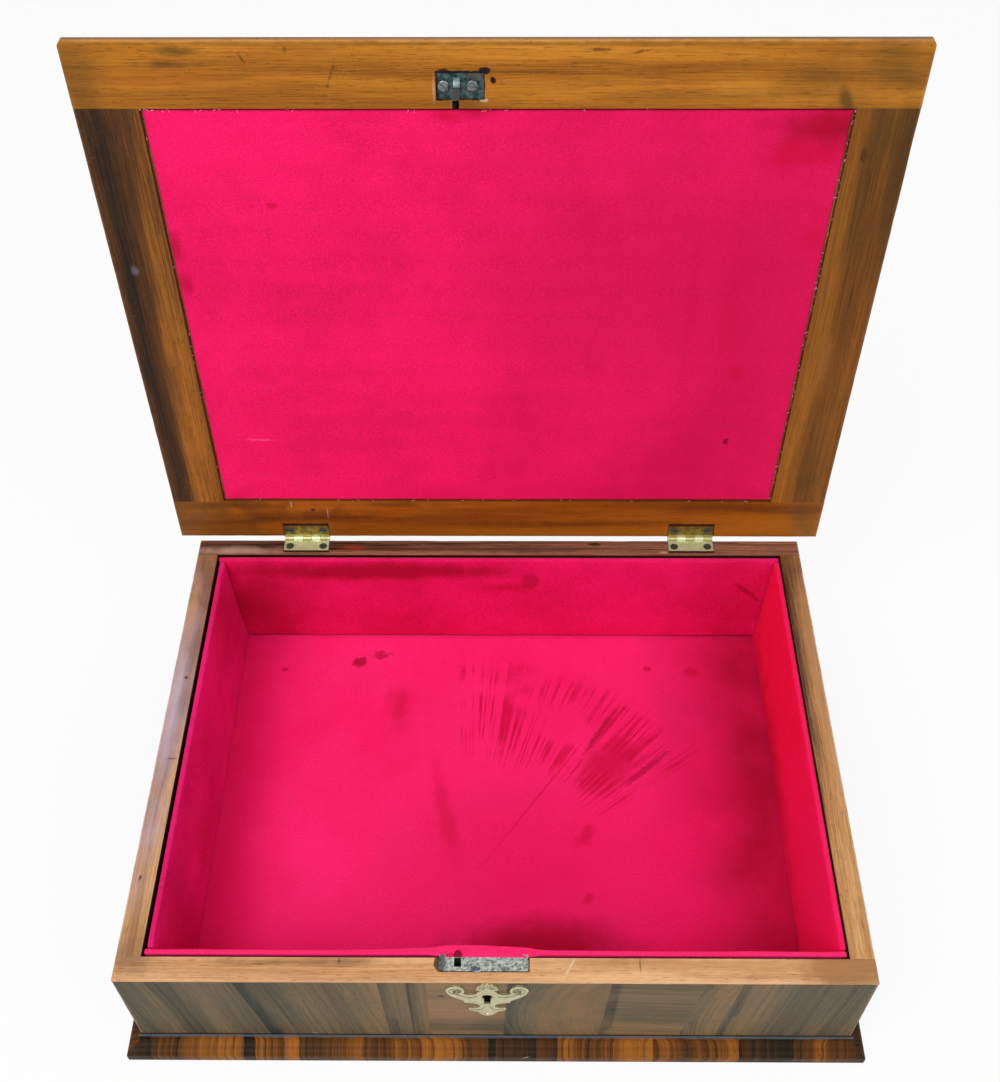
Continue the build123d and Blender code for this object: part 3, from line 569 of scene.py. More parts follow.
@dataclass(frozen=True)
class Mark:
    """A stain, bruise or bright spot, or a patch of painted shade or painted highlight, with its
    lengths in millimetres.

    It has a place and half sizes along the frame's axes, a colour, and how much of that shows. Its
    border wanders by up to half of ragged, in lumps that are smaller where fine is larger, and it
    fades over soft to each side. A square one fills its box; a turn is in radians.
    """

    place: tuple[float, ...]
    half: Triple
    colour: Colour
    depth: float = 1.0
    ragged: float = 1.0
    soft: float = 0.5
    fine: float = 400.0
    square: bool = False
    turn: Triple = (0.0, 0.0, 0.0)

    def centre(self) -> Triple:
        """Its place in the frame, in metres."""
        return millimetres(*self.place)


class LidMark(Mark):
    """A mark whose place is given along the lid's own axes; the last of them may be left out."""

    def centre(self) -> Triple:
        """Its place in the frame, in metres."""
        return on_lid(*self.place)


def lay_marks(w: Wiring, colour: NodeSocket, place: NodeSocket,
              marks: Iterable[Mark]) -> NodeSocket:
    """Lay marks over a colour.

    Args:
        w: The material's wiring.
        colour: The colour so far.
        place: The piece's own coordinates.
        marks: The marks, the last one on top.

    Returns:
        The marked colour.
    """
    for mark in marks:
        size = millimetres(*mark.half)
        mask = w.effect(EFFECTS.spot, vector=place, place=mark.centre(), size=size,
                        turn=mark.turn, span=min(size), square=float(mark.square),
                        ragged=mark.ragged * MM, soft=mark.soft * MM, fine=mark.fine)["Mask"]
        colour = w.mix(w.product(mask, mark.depth), colour, mark.colour)
    return colour


@dataclass(frozen=True)
class WoodFinish:
    """A polished or raw wood: three tones of its figure, its polish and its wear."""

    name: str
    dark: Colour
    middle: Colour
    light: Colour
    bare: Colour
    pitch: float = 4.0 * MM
    waviness: float = 14.0 * MM
    ring_share: float = 0.35
    contrast: float = 0.55
    streaks: float = 0.35
    roughness: float = 0.42
    specular: float = 0.14
    coat: float = 0.03
    wear: float = 0.8
    grime: float = 0.5
    pore_depth: float = 0.45
    scratch: float = 0.12
    marks: tuple[Mark, ...] = ()

    def material(self) -> Material:
        """Build the wood's material.

        Returns:
            A material that reads the mesh's grain, wear and tone.
        """
        made, w, shader = new_material(self.name)
        tone = w.attribute(TONE).outputs["Fac"]
        place = own_place(w)
        wood = w.effect(EFFECTS.grain, vector=w.attribute(GRAIN).outputs["Vector"],
                        pitch=self.pitch, waviness=self.waviness)
        figure = w.scaled(wood["Ring"], -self.ring_share, wood["Band"])
        figure = w.scaled(w.math("SUBTRACT", figure, 0.45), self.contrast, tone)
        streak = w.centred(wood["Fibre"])
        figure = w.scaled(streak, self.streaks, figure, clamp=True)
        colour = w.ramp(figure, ((0.0, self.dark), (0.5, self.middle), (1.0, self.light)))
        pores = w.scaled(wood["Pore"], -self.pore_depth, 1.0)
        colour = w.mix(1.0, colour, w.grey(pores), "MULTIPLY")
        grime = w.effect(EFFECTS.grime, vector=place, amount=self.grime)
        colour = w.mix(w.product(grime["Patch"], 0.5), colour, self.dark)
        colour = w.mix(grime["Speck"], colour, tuple(0.35 * part for part in self.dark))
        rubbed = w.effect(EFFECTS.wear, vector=place, wear=w.attribute(WEAR).outputs["Fac"],
                          amount=self.wear)["Mask"]
        colour = w.mix(rubbed, colour, self.bare)
        scratches = w.effect(EFFECTS.scratches, vector=place)["Mask"]
        colour = w.mix(w.product(scratches, self.scratch), colour, self.bare)
        dull = w.scaled(rubbed, 0.18, self.roughness)
        dull = w.scaled(grime["Patch"], 0.12, dull)
        height = w.scaled(wood["Pore"], -1.0, w.product(streak, 0.5))
        height = w.scaled(scratches, -0.8, height)
        w.give(shader, {"Base Color": lay_marks(w, colour, place, self.marks),
                        "Roughness": w.scaled(streak, 0.25, dull, clamp=True),
                        "Normal": w.bump(height, 0.3, 0.1 * MM),
                        "Specular IOR Level": self.specular,
                        "Coat Weight": self.coat, "Coat Roughness": 0.16})
        return made


@dataclass(frozen=True)
class MetalFinish:
    """A metal with its clean, tarnished and pitted colours."""

    name: str
    clean: Colour
    tarnish: Colour
    pit: Colour
    roughness: float = 0.3
    tarnish_amount: float = 0.6
    pit_amount: float = 0.5
    metallic: float = 1.0
    fineness: float = 1.0
    marks: tuple[Mark, ...] = ()

    def material(self) -> Material:
        """Build the metal's material.

        Returns:
            A material with cloudy tarnish, pits, brushing and its marks.
        """
        made, w, shader = new_material(self.name)
        place = own_place(w)
        metal = w.effect(EFFECTS.tarnish, vector=w.times(place, self.fineness))
        cloudy = w.product(metal["Cloud"], self.tarnish_amount)
        pitted = w.product(metal["Pit"], self.pit_amount)
        colour = w.mix(cloudy, self.clean, self.tarnish)
        colour = w.mix(pitted, colour, self.pit)
        scratches = w.effect(EFFECTS.scratches, vector=place)["Mask"]
        colour = w.mix(w.product(scratches, 0.5), colour, self.clean)
        dull = w.scaled(cloudy, 0.25, self.roughness)
        dull = w.scaled(pitted, 0.3, dull)
        height = w.scaled(metal["Pit"], -1.0, w.product(metal["Brush"], 0.3))
        w.give(shader, {"Base Color": lay_marks(w, colour, place, self.marks),
                        "Roughness": w.scaled(w.centred(metal["Brush"]), 0.3, dull, clamp=True),
                        "Metallic": w.scaled(pitted, -0.6, self.metallic, clamp=True),
                        "Normal": w.bump(height, 0.35, 0.08 * MM)})
        return made


@dataclass(frozen=True)
class Fan:
    """Strokes left in the nap, all pointing at one place; angles turn from +y towards +x."""

    place: Triple
    inner: float
    outer: float
    first: float
    last: float
    closeness: float = 42.0
    depth: float = 0.6

    def mask(self, w: Wiring, place: NodeSocket) -> NodeSocket:
        """Make the strokes' mask.

        Args:
            w: The material's wiring.
            place: The piece's own coordinates.

        Returns:
            How far the nap is turned at each point.
        """
        offset = w.times(w.combine("SUBTRACT", place, self.place), (1.0, 1.0, 0.0))
        across, ahead, _ = w.parts(offset)
        angle = w.math("ARCTAN2", across, ahead)
        radius = w.combine("LENGTH", offset)
        stroke = w.noise(w.vector(w.product(angle, self.closeness), w.product(radius, 9.0), 0.0))
        ragged = w.scaled(w.lumps(place, (90.0, 90.0, 1.0)), 50 * MM, radius)
        first, last = math.radians(self.first), math.radians(self.last)
        mask = w.step(stroke, 0.47, 0.60)
        for value, low, high in ((ragged, self.inner, self.inner + 30 * MM),
                                 (ragged, self.outer + 30 * MM, self.outer),
                                 (angle, first - 0.03, first + 0.02),
                                 (angle, last + 0.05, last - 0.02)):
            mask = w.product(mask, w.step(value, low, high))
        patch = w.step(w.lumps(place, (22.0, 22.0, 1.0)), 0.38, 0.55)
        return w.product(w.product(mask, patch), self.depth)


@dataclass(frozen=True)
class VelvetFinish:
    """Cut velvet: its bright and deep colours, sheen, marks and strokes."""

    name: str
    bright: Colour
    deep: Colour
    pressed: Colour
    turn: Triple = (0.0, 0.0, 0.0)
    patch: float = 0.34
    marks: tuple[Mark, ...] = ()
    fan: Fan | None = None

    def material(self) -> Material:
        """Build the velvet's material.

        Returns:
            A material with flecked nap, soft patches and its marks.
        """
        made, w, shader = new_material(self.name)
        place = own_place(w)
        pile = w.effect(EFFECTS.pile, vector=w.turned(place, self.turn))
        nap = w.scaled(w.centred(pile["Fleck"]), 0.38, 0.20)
        nap = w.scaled(pile["Row"], 0.06, nap)
        nap = w.scaled(pile["Patch"], self.patch, nap, clamp=True)
        colour = w.mix(nap, self.bright, self.deep)
        if self.fan:
            colour = w.mix(self.fan.mask(w, place), colour, self.pressed)
        colour = lay_marks(w, colour, place, self.marks)
        flecked = w.scaled(pile["Fleck"], -0.10, 1.04)
        height = w.scaled(pile["Row"], 0.2, pile["Fleck"])
        w.give(shader, {"Base Color": w.mix(1.0, colour, w.grey(flecked), "MULTIPLY"),
                        "Roughness": 0.9, "Specular IOR Level": 0.12, "Sheen Weight": 0.3,
                        "Sheen Roughness": 0.35, "Sheen Tint": self.bright,
                        "Normal": w.bump(height, 0.5, 0.2 * MM)})
        return made


Finish = WoodFinish | MetalFinish | VelvetFinish


class Shelf:
    """Keeps each finish's material, so that it is built once."""

    def __init__(self) -> None:
        """Start empty."""
        self.made: dict[str, Material] = {}

    def of(self, finish: Finish) -> Material:
        """Give a finish's material, building it the first time.

        Args:
            finish: The finish.

        Returns:
            Its material.
        """
        if finish.name not in self.made:
            self.made[finish.name] = finish.material()
        return self.made[finish.name]


SHELF = Shelf()


# ----- Meshes -----
def corners(points: Sequence[Vector]) -> tuple[Vector, Vector]:
    """Lowest and highest corner of the box round some points."""
    return (Vector(min(point[axis] for point in points) for axis in range(3)),
            Vector(max(point[axis] for point in points) for axis in range(3)))


def box_in(space: Matrix, node: str) -> tuple[Vector, Vector]:
    """Lowest and highest corner of a CAD node, in a space of its own."""
    back = space.inverted()
    return corners([back @ vertex.co for vertex in frame["nodes"][node].data.vertices])


def in_scene(name: str, data: bpy.types.ID) -> Object:
    """Make an object and put it into the scene.

    Args:
        name: The object's name.
        data: Its mesh, curve, lamp or camera.

    Returns:
        The object.
    """
    made = bpy.data.objects.new(name, data)
    bpy.context.scene.collection.objects.link(made)
    return made


def draw_lines(name: str, lines: Iterable[Sequence[Vector]], shape: tuple[float, int],
               finish: Finish, body: Body) -> None:
    """Draw round lines as one curve that rides on a body.

    Args:
        name: The piece's name.
        lines: The places along each line, in the frame.
        shape: The lines' radius and how finely they are rounded.
        finish: Their finish.
        body: The body that they ride on.
    """
    data = bpy.data.curves.new(name, "CURVE")
    data.dimensions = "3D"
    data.bevel_depth, data.bevel_resolution = shape
    for line in lines:
        spline = data.splines.new("POLY")
        spline.points.add(len(line) - 1)
        for point, place in zip(spline.points, line):
            point.co = (*place, 1.0)
    data.materials.append(SHELF.of(finish))
    piece = in_scene(name, data)
    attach(piece, body.value)


def keep(name: str, bm: BMesh, space: Matrix, body: Body, finish: Finish,
         replaces: Iterable[str] = (), sharp: float = 32.0) -> Object:
    """Finish a mesh and make it ride.

    Args:
        name: The piece's name.
        bm: Its mesh, in its own space; it is used up.
        space: Carries that space into the frame.
        body: The body it rides on.
        finish: Its finish.
        replaces: The CAD nodes that it stands for.
        sharp: The angle, in degrees, past which an edge is not smoothed.

    Returns:
        The finished object.
    """
    bmesh.ops.transform(bm, matrix=space, verts=bm.verts)
    bmesh.ops.recalc_face_normals(bm, faces=bm.faces)
    for face in bm.faces:
        face.smooth = True
    for edge in bm.edges:
        edge.smooth = edge.calc_face_angle(0.0) < math.radians(sharp)
    mesh = bpy.data.meshes.new(name)
    bm.to_mesh(mesh)
    bm.free()
    if STALE_NORMALS in mesh.attributes:
        mesh.attributes.remove(mesh.attributes[STALE_NORMALS])
    mesh.materials.clear()
    mesh.materials.append(SHELF.of(finish))
    for face in mesh.polygons:
        face.material_index = 0
    piece = in_scene(name, mesh)
    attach(piece, body.value)
    nodes = tuple(replaces)
    if nodes:
        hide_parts(*nodes)
    log.info("%s: %d faces on %s", name, len(mesh.polygons), body.value)
    return piece


def islands(bm: BMesh, axis: int) -> list[list[BMVert]]:
    """Sort a mesh's vertices into its separate bodies.

    Args:
        bm: The mesh.
        axis: The axis that the bodies are sorted along, from low to high.

    Returns:
        Each body's vertices.
    """
    left, found = set(bm.verts), []
    while left:
        queue, island = [left.pop()], []
        while queue:
            vertex = queue.pop()
            island.append(vertex)
            for edge in vertex.link_edges:
                other = edge.other_vert(vertex)
                if other in left:
                    left.remove(other)
                    queue.append(other)
        found.append(island)
    return sorted(found, key=lambda group: sum(v.co[axis] for v in group) / len(group))


def axis_vector(axis: int) -> Vector:
    """Give the unit vector along an axis."""
    return Vector(float(index == axis) for index in range(3))


def cut(bm: BMesh, place: Vector, normal: Vector) -> list[BMEdge]:
    """Cut a mesh by a plane.

    Args:
        bm: The mesh.
        place: A point of the plane.
        normal: The plane's normal.

    Returns:
        The new edges.
    """
    made = bmesh.ops.bisect_plane(bm, geom=[*bm.verts, *bm.edges, *bm.faces], dist=CUT_SLACK,
                                  plane_co=place, plane_no=normal)
    return [part for part in made["geom_cut"] if isinstance(part, BMEdge)]


def round_over(bm: BMesh, edges: Sequence[BMEdge], offset: float, segments: int) -> None:
    """Round some edges of a mesh."""
    bmesh.ops.bevel(bm, geom=edges, offset=offset, offset_type="OFFSET", segments=segments,
                    profile=0.5, affect="EDGES", clamp_overlap=True, material=-1)


def slice_mesh(bm: BMesh, spacing: Triple) -> None:
    """Cut a mesh by planes square to its axes.

    Args:
        bm: The mesh.
        spacing: How far apart the planes lie along each axis; 0 leaves it uncut.
    """
    for axis, step in enumerate(spacing):
        if step <= 0:
            continue
        low = min(vertex.co[axis] for vertex in bm.verts)
        high = max(vertex.co[axis] for vertex in bm.verts)
        count = int((high - low) / step)
        normal = axis_vector(axis)
        for index in range(1, count):
            cut(bm, normal * (low + (high - low) * index / count), normal)


@dataclass
class Board:
    """A wooden piece taken over from its CAD node, with rounded, rubbed and chipped arrises."""

    node: str
    body: Body
    finish: WoodFinish
    slot: Slot
    along: Along = Along.X
    space: Matrix = field(default_factory=lambda: CASE_SPACE)
    tone: Callable[[Vector], float] = lambda place: 0.5
    exposed: Callable[[Vector], bool] = lambda middle: True
    shape: Callable[[Vector], Vector] = lambda place: place
    seed: int = 1
    radius: float = 0.5 * MM
    rub_width: float = 1.6 * MM
    chip: float = 0.3 * MM
    slices: Triple = (6 * MM, 0.0, 0.0)
    shortest_arris: float = 11 * MM
    sharp_from: float = 48.0
    flat_below: float = 1.5
    weld: float = 0.003 * MM

    def build(self) -> Object:
        """Make the piece.

        Returns:
            The finished object, standing for its node.
        """
        bm = self.take_over()
        wear = bm.verts.layers.float.new(WEAR)
        bm.verts.layers.float.new(TONE)
        bm.verts.layers.float_vector.new(GRAIN)
        arrises = self.exposed_arrises(bm)
        lines = [tuple(vertex.co.copy() for vertex in edge.verts) for edge in arrises]
        round_over(bm, arrises, self.radius, 2)
        self.cut_beside(bm, lines)
        slice_mesh(bm, self.slices)
        self.rub(bm, wear, lines)
        self.chip_arrises(bm, wear)
        self.lay_grain(bm)
        return keep(f"{self.node}_worked", bm, self.space, self.body, self.finish,
                    (self.node,))

    def take_over(self) -> BMesh:
        """Copy the node's mesh into this piece's space.

        Returns:
            The mesh, with its loose triangles joined.
        """
        bm = bmesh.new()
        bm.from_mesh(frame["nodes"][self.node].data)
        bmesh.ops.transform(bm, matrix=self.space.inverted(), verts=bm.verts)
        bmesh.ops.remove_doubles(bm, verts=bm.verts, dist=self.weld)
        for vertex in bm.verts:
            vertex.co = self.shape(vertex.co)
        bmesh.ops.dissolve_limit(bm, angle_limit=math.radians(self.flat_below), verts=bm.verts,
                                 edges=bm.edges, use_dissolve_boundaries=False)
        return bm

    def exposed_arrises(self, bm: BMesh) -> list[BMEdge]:
        """Find the long corners that hands can reach.

        Args:
            bm: The board's mesh.

        Returns:
            Their edges.
        """
        found = []
        for edge in bm.edges:
            middle = (edge.verts[0].co + edge.verts[1].co) / 2
            if (edge.calc_face_angle(0.0) > math.radians(self.sharp_from)
                    and edge.calc_length() > self.shortest_arris and self.exposed(middle)):
                found.append(edge)
        return found

    def cut_beside(self, bm: BMesh, lines: Sequence[tuple[Vector, Vector]]) -> None:
        """Cut the faces along each arris, a rub's width away from it.

        Args:
            bm: The board's mesh.
            lines: The two ends of each arris.
        """
        planes = set()
        for start, end in lines:
            for axis in range(3):
                if abs(start[axis] - end[axis]) > 0.2 * MM:
                    continue
                for side in (-1, 1):
                    level = start[axis] + side * (self.radius + self.rub_width)
                    planes.add((axis, round(level, 5)))
        for axis, level in planes:
            cut(bm, axis_vector(axis) * level, axis_vector(axis))

    def rub(self, bm: BMesh, wear: BMLayerItem, lines: Sequence[tuple[Vector, Vector]]) -> None:
        """Mark the arrises as rubbed, fading out on the faces beside them.

        Args:
            bm: The board's mesh.
            wear: The layer that takes the wear.
            lines: The two ends of each arris.
        """
        for vertex in bm.verts:
            nearest = 1.0
            for start, end in lines:
                run = end - start
                share = clamped((vertex.co - start).dot(run) / run.length_squared)
                nearest = min(nearest, (vertex.co - start - run * share).length)
            vertex[wear] = max(0.0, 1 - max(0.0, nearest - self.radius) / self.rub_width)

    def chip_arrises(self, bm: BMesh, wear: BMLayerItem) -> None:
        """Push the rubbed corners in a little, unevenly.

        Args:
            bm: The board's mesh.
            wear: The layer that holds the wear.
        """
        bm.normal_update()
        moves = []
        for vertex in bm.verts:
            if vertex[wear] < 0.9:
                continue
            fine = max(0.0, noise.noise(vertex.co * 110 + Vector((self.seed, 0, 0))))
            coarse = max(0.0, noise.noise(vertex.co * 24 + Vector((0, self.seed, 0))))
            moves.append((vertex, self.chip * (0.7 * fine + 1.6 * coarse ** 2)))
        for vertex, depth in moves:
            vertex.co -= vertex.normal * depth

    def grain_at(self, place: Vector, shift: Vector, lean: float = 0.0) -> Vector:
        """Find a point's place in the timber, with the grain along its x.

        Args:
            place: The point, in the piece's space.
            shift: Where in the timber the piece was cut.
            lean: How far the grain leans, in degrees.

        Returns:
            The place.
        """
        order = {Along.X: (0, 1, 2), Along.Y: (1, 0, 2), Along.Z: (2, 0, 1)}[self.along]
        along, side, deep = (place[index] for index in order)
        turn = math.radians(lean)
        return Vector((along * math.cos(turn) - side * math.sin(turn),
                       side * math.cos(turn) + along * math.sin(turn), deep)) + shift

    def timber_shift(self, number: int) -> Vector:
        """Where in the timber a piece was cut, different for each number."""
        dice = random.Random(self.seed * 101 + number)
        return Vector((dice.uniform(0, 3), dice.uniform(0, 3), dice.uniform(0, 3)))

    def lay_grain(self, bm: BMesh) -> None:
        """Write the grain and the tone of every vertex.

        Args:
            bm: The board's mesh.
        """
        grain, tone = bm.verts.layers.float_vector[GRAIN], bm.verts.layers.float[TONE]
        shift = self.timber_shift(0)
        for vertex in bm.verts:
            vertex[grain] = self.grain_at(vertex.co, shift)
            vertex[tone] = self.tone(vertex.co)


@dataclass(frozen=True)
class Leaf:
    """One leaf of veneer: where it starts along the wall, its grain's lean and its tones."""

    start: float
    lean: float
    tone: float
    end_tone: float = 0.0
    arch: float = 0.0
    ripple: bool = False
    edge_tone: float = 0.0


@dataclass
class VeneeredWall(Board):
    """A wall's veneer, laid in leaves with their own grain."""

    leaves: tuple[Leaf, ...] = ()
    run: Along = Along.X
    edge_width: float = 7 * MM
    middle: float = 56 * MM

    def lay_grain(self, bm: BMesh) -> None:
        """Cut the veneer into its leaves and write each one's grain.

        Args:
            bm: The veneer's mesh.
        """
        axis = self.run.value
        seams = []
        for leaf in self.leaves[1:]:
            start, normal = Vector((0, 0, self.middle)), Vector((0, 0, 0))
            start[axis], normal[axis] = leaf.start, math.cos(math.radians(leaf.lean))
            normal.z = math.sin(math.radians(leaf.lean))
            seams += cut(bm, start, normal)
            cut(bm, start + normal * self.edge_width, normal)
        bmesh.ops.split_edges(bm, edges=list({seam for seam in seams if seam.is_valid}))
        found: list[list[BMFace]] = [[] for _ in self.leaves]
        for face in bm.faces:
            middle = face.calc_center_median()
            number = sum(self.past(leaf, middle) for leaf in self.leaves[1:])
            found[number].append(face)
        last = max(vertex.co[axis] for vertex in bm.verts)
        ends = [*(leaf.start for leaf in self.leaves[1:]), last]
        for number, (leaf, end, faces) in enumerate(zip(self.leaves, ends, found)):
            self.lay_leaf(bm, leaf, end, faces, self.timber_shift(number))

    def past(self, leaf: Leaf, place: Vector) -> bool:
        """Tell whether a point lies beyond a leaf's leaning seam."""
        drop = (place.z - self.middle) * math.tan(math.radians(leaf.lean))
        return place[self.run.value] + drop > leaf.start

    def lay_leaf(self, bm: BMesh, leaf: Leaf, end: float, faces: Sequence[BMFace],
                 shift: Vector) -> None:
        """Write the grain and tone of one leaf.

        Args:
            bm: The wall's mesh.
            leaf: The leaf.
            end: Where it ends along the wall.
            faces: Its faces.
            shift: Where in the timber it was cut.
        """
        grain, tone = bm.verts.layers.float_vector[GRAIN], bm.verts.layers.float[TONE]
        axis = self.run.value
        for vertex in {vertex for face in faces for vertex in face.verts}:
            place = self.grain_at(vertex.co, shift, leaf.lean)
            rise = vertex.co.z - 50 * MM
            place.y += leaf.arch * rise * rise
            if leaf.ripple:
                place.x, place.y = place.y * 0.4, place.x
            vertex[grain] = place
            drop = (vertex.co.z - self.middle) * math.tan(math.radians(leaf.lean))
            into = vertex.co[axis] + drop - leaf.start
            near = 1.0 if into < self.edge_width else 0.0
            vertex[tone] = (leaf.tone + leaf.end_tone * into / (end - leaf.start)
                            + leaf.edge_tone * near)


@dataclass(frozen=True)
class Block:
    """One block of the plinth's facing: tone at its start, its change, and its rings' bend."""

    tone: float
    change: float = 0.0
    arch: float = 0.0


@dataclass
class BlockedPlinth(Board):
    """A plinth facing of short blocks, each from its own bit of timber."""

    blocks: tuple[Block, ...] = ()
    run: Along = Along.X

    def lay_grain(self, bm: BMesh) -> None:
        """Write the grain of each block, from low to high along the run.

        Args:
            bm: The facing's mesh.
        """
        grain, tone = bm.verts.layers.float_vector[GRAIN], bm.verts.layers.float[TONE]
        axis = self.run.value
        for number, solid in enumerate(islands(bm, axis)):
            shift = self.timber_shift(number)
            block = self.blocks[number % len(self.blocks)]
            low = min(vertex.co[axis] for vertex in solid)
            length = max(vertex.co[axis] for vertex in solid) - low
            for vertex in solid:
                rise = vertex.co.z - 8 * MM
                along = vertex.co[axis]
                vertex[grain] = Vector((vertex.co.z, along + block.arch * rise * rise, 0)) + shift
                vertex[tone] = block.tone + block.change * (along - low) / length


# ----- Colours of the wood's marks, painted shade among them -----
# Near-black: painted shade in gaps, recesses and the keyhole, and also real dark streaks, joints and
# spots.
SHADE_AND_STREAK_BLACK = srgb(18, 12, 9)
BRUISE = srgb(52, 30, 14)
PALE = srgb(222, 190, 150)
MOSS = srgb(70, 52, 14)
# Painted shade: blackens the inner faces of rims and boards where they meet the linings, the gap down
# into the well.
WELL_SHADE = Mark((0, 0, 95), (200.75, 153.95, 60), SHADE_AND_STREAK_BLACK, 0.97, 0.2, 0.12, square=True)
# Painted shade: blackens the wood round the keyhole's passage through the front wall.
KEY_SHADE = Mark((-4.3, -161, 73), (4.8, 8, 8.5), SHADE_AND_STREAK_BLACK, 1.0, 0.2, 0.3, square=True)
HINGE_PLACES = (-138, 138)
# Painted shade: black gaps round the hinge leaves' seats in the back rim.
HINGE_SEAT_SHADES = tuple(Mark((x, 163.4, 95), (16.3, 7.0, 4), SHADE_AND_STREAK_BLACK, 0.9, 0.8, 0.25, 500, square=True)
                   for x in HINGE_PLACES)
# Painted shade: black gaps round the hinge leaves' seats in the lid.
LID_SEAT_SHADES = tuple(LidMark((x, 5.0), (16.5, 4, 7.2), SHADE_AND_STREAK_BLACK, 0.9, 0.9, 0.3, 500, square=True)
                  for x in HINGE_PLACES)
OUTSIDE = LidMark((0, 176, -7.5), (240, 190, 6.5), srgb(74, 48, 30), 0.62, 0.3, 0.5, square=True,
                  turn=tuple(LID_SPACE.to_3x3().inverted().to_euler("XYZ")))


# ----- Finishes of this box: wood -----
LID_HONEY = WoodFinish(
    "honey_walnut_lid", srgb(118, 66, 8), srgb(180, 114, 28), srgb(210, 142, 50), srgb(214, 170, 110),
    pitch=8 * MM, waviness=24 * MM, ring_share=0.12, contrast=0.8, wear=0.45, grime=0.5, pore_depth=0.4,
    streaks=0.65, marks=(
        # Painted shade: the black gap and the shadows in the recess round the sunk catch plate.
        LidMark((-19, 327), (13.1, 5, 7.9), SHADE_AND_STREAK_BLACK, 1.0, 1.5, 0.25, 420, square=True),
        LidMark((-6.0, 335.0), (3.2, 4, 1.9), SHADE_AND_STREAK_BLACK, 1.0, 1.4),
        LidMark((-1.5, 330.0), (1.5, 4, 1.9), SHADE_AND_STREAK_BLACK, 1.0, 0.8, turn=(0.0, 0.5, 0.0)),
        LidMark((-28, 335), (3, 4, 1.2), SHADE_AND_STREAK_BLACK, 0.9, 1.2),
        LidMark((-6.4, 319.0), (2.0, 4, 0.9), srgb(196, 170, 140), 0.75, 2.4, fine=700),
        LidMark((-11, 317.4), (5, 4, 1.2), srgb(120, 76, 40), 0.6, 2, fine=400),
        LidMark((-33.2, 325), (0.5, 4, 5), srgb(200, 176, 150), 0.5, 1.2, fine=800),
        LidMark((176, 331), (16, 4, 8), MOSS, 0.55, 14, 7, 70),
        LidMark((188, 318), (3, 4, 7), MOSS, 0.7, 6, 2, 160, turn=(0.0, 0.35, 0.0)),
        LidMark((120, 322), (46, 4, 2), MOSS, 0.3, 7, 4, 60),
        LidMark((-222, 332), (13, 9, 17), srgb(84, 56, 12), 0.6, 12, 6, 60),
        LidMark((214, 334), (14, 4, 17), MOSS, 0.6, 14, 8, 60),
        LidMark((40, 349), (180, 4, 1.0), MOSS, 0.5, 2.4, 1, 120),
        LidMark((-168, 345), (9, 4, 2.2), MOSS, 0.75, 4, 2, 150),
        LidMark((-171, 338), (12, 4, 1.6), BRUISE, 0.6, 5, 2, 120),
        LidMark((-185, 330), (26, 4, 3), srgb(166, 92, 18), 0.6, 9, 5, 60),
        LidMark((-133, 341), (0.7, 4, 3), BRUISE, 0.7, 1.6, turn=(0.0, 0.5, 0.0)),
        LidMark((-88, 331), (0.5, 4, 6), BRUISE, 0.45, 3, turn=(0.0, -0.4, 0.0)),
        LidMark((-110, 346), (1.0, 4, 1.6), BRUISE, 0.5, 1.6),
        LidMark((54, 346), (6, 4, 0.7), BRUISE, 0.7, 2),
        LidMark((76, 345), (4, 4, 0.6), BRUISE, 0.6, 2, turn=(0.0, 0.2, 0.0)),
        LidMark((0, 352.0), (232, 10, 0.9), srgb(64, 74, 92), 0.8, 0.8, 0.4, square=True), OUTSIDE))
STILE_DARK = WoodFinish(
    "streaked_walnut_stile", srgb(30, 20, 10), srgb(88, 52, 18), srgb(166, 102, 30), srgb(160, 116, 70),
    pitch=9 * MM, waviness=16 * MM, ring_share=0.16, contrast=0.66, streaks=0.8, wear=0.35,
    pore_depth=0.5, marks=(
        LidMark((-216, 285), (5, 4, 30), SHADE_AND_STREAK_BLACK, 0.55, 9, 4, 110),
        LidMark((-216, 216), (2, 4, 2.6), srgb(120, 112, 118), 0.5, 2.4, 1.4, 200),
        LidMark((-212, 130), (5, 4, 34), srgb(70, 44, 18), 0.55, 9, 4, 70),
        LidMark((-220, 215), (3.5, 4, 26), SHADE_AND_STREAK_BLACK, 0.4, 8, 3, 110), OUTSIDE))
STILE_BROWN = WoodFinish(
    "brown_walnut_stile", srgb(60, 36, 8), srgb(118, 70, 14), srgb(156, 98, 30), srgb(172, 122, 70),
    pitch=11 * MM, waviness=20 * MM, ring_share=0.12, contrast=0.6, streaks=0.85, wear=0.4,
    pore_depth=0.35, marks=(
        LidMark((206, 240), (4, 4, 60), MOSS, 0.2, 9, 5, 60),
        LidMark((225, 270), (6, 6, 60), srgb(66, 42, 12), 0.6, 7, 4, 60),
        LidMark((214, 60), (6, 4, 34), MOSS, 0.6, 9, 6, 60),
        LidMark((216, 300), (6, 4, 14), MOSS, 0.5, 9, 5, 80),
        LidMark((203, 288), (1.6, 4, 4), BRUISE, 0.6, 2),
        LidMark((207, 150), (3, 4, 18), srgb(150, 92, 40), 0.5, 5, 3, 150), OUTSIDE))
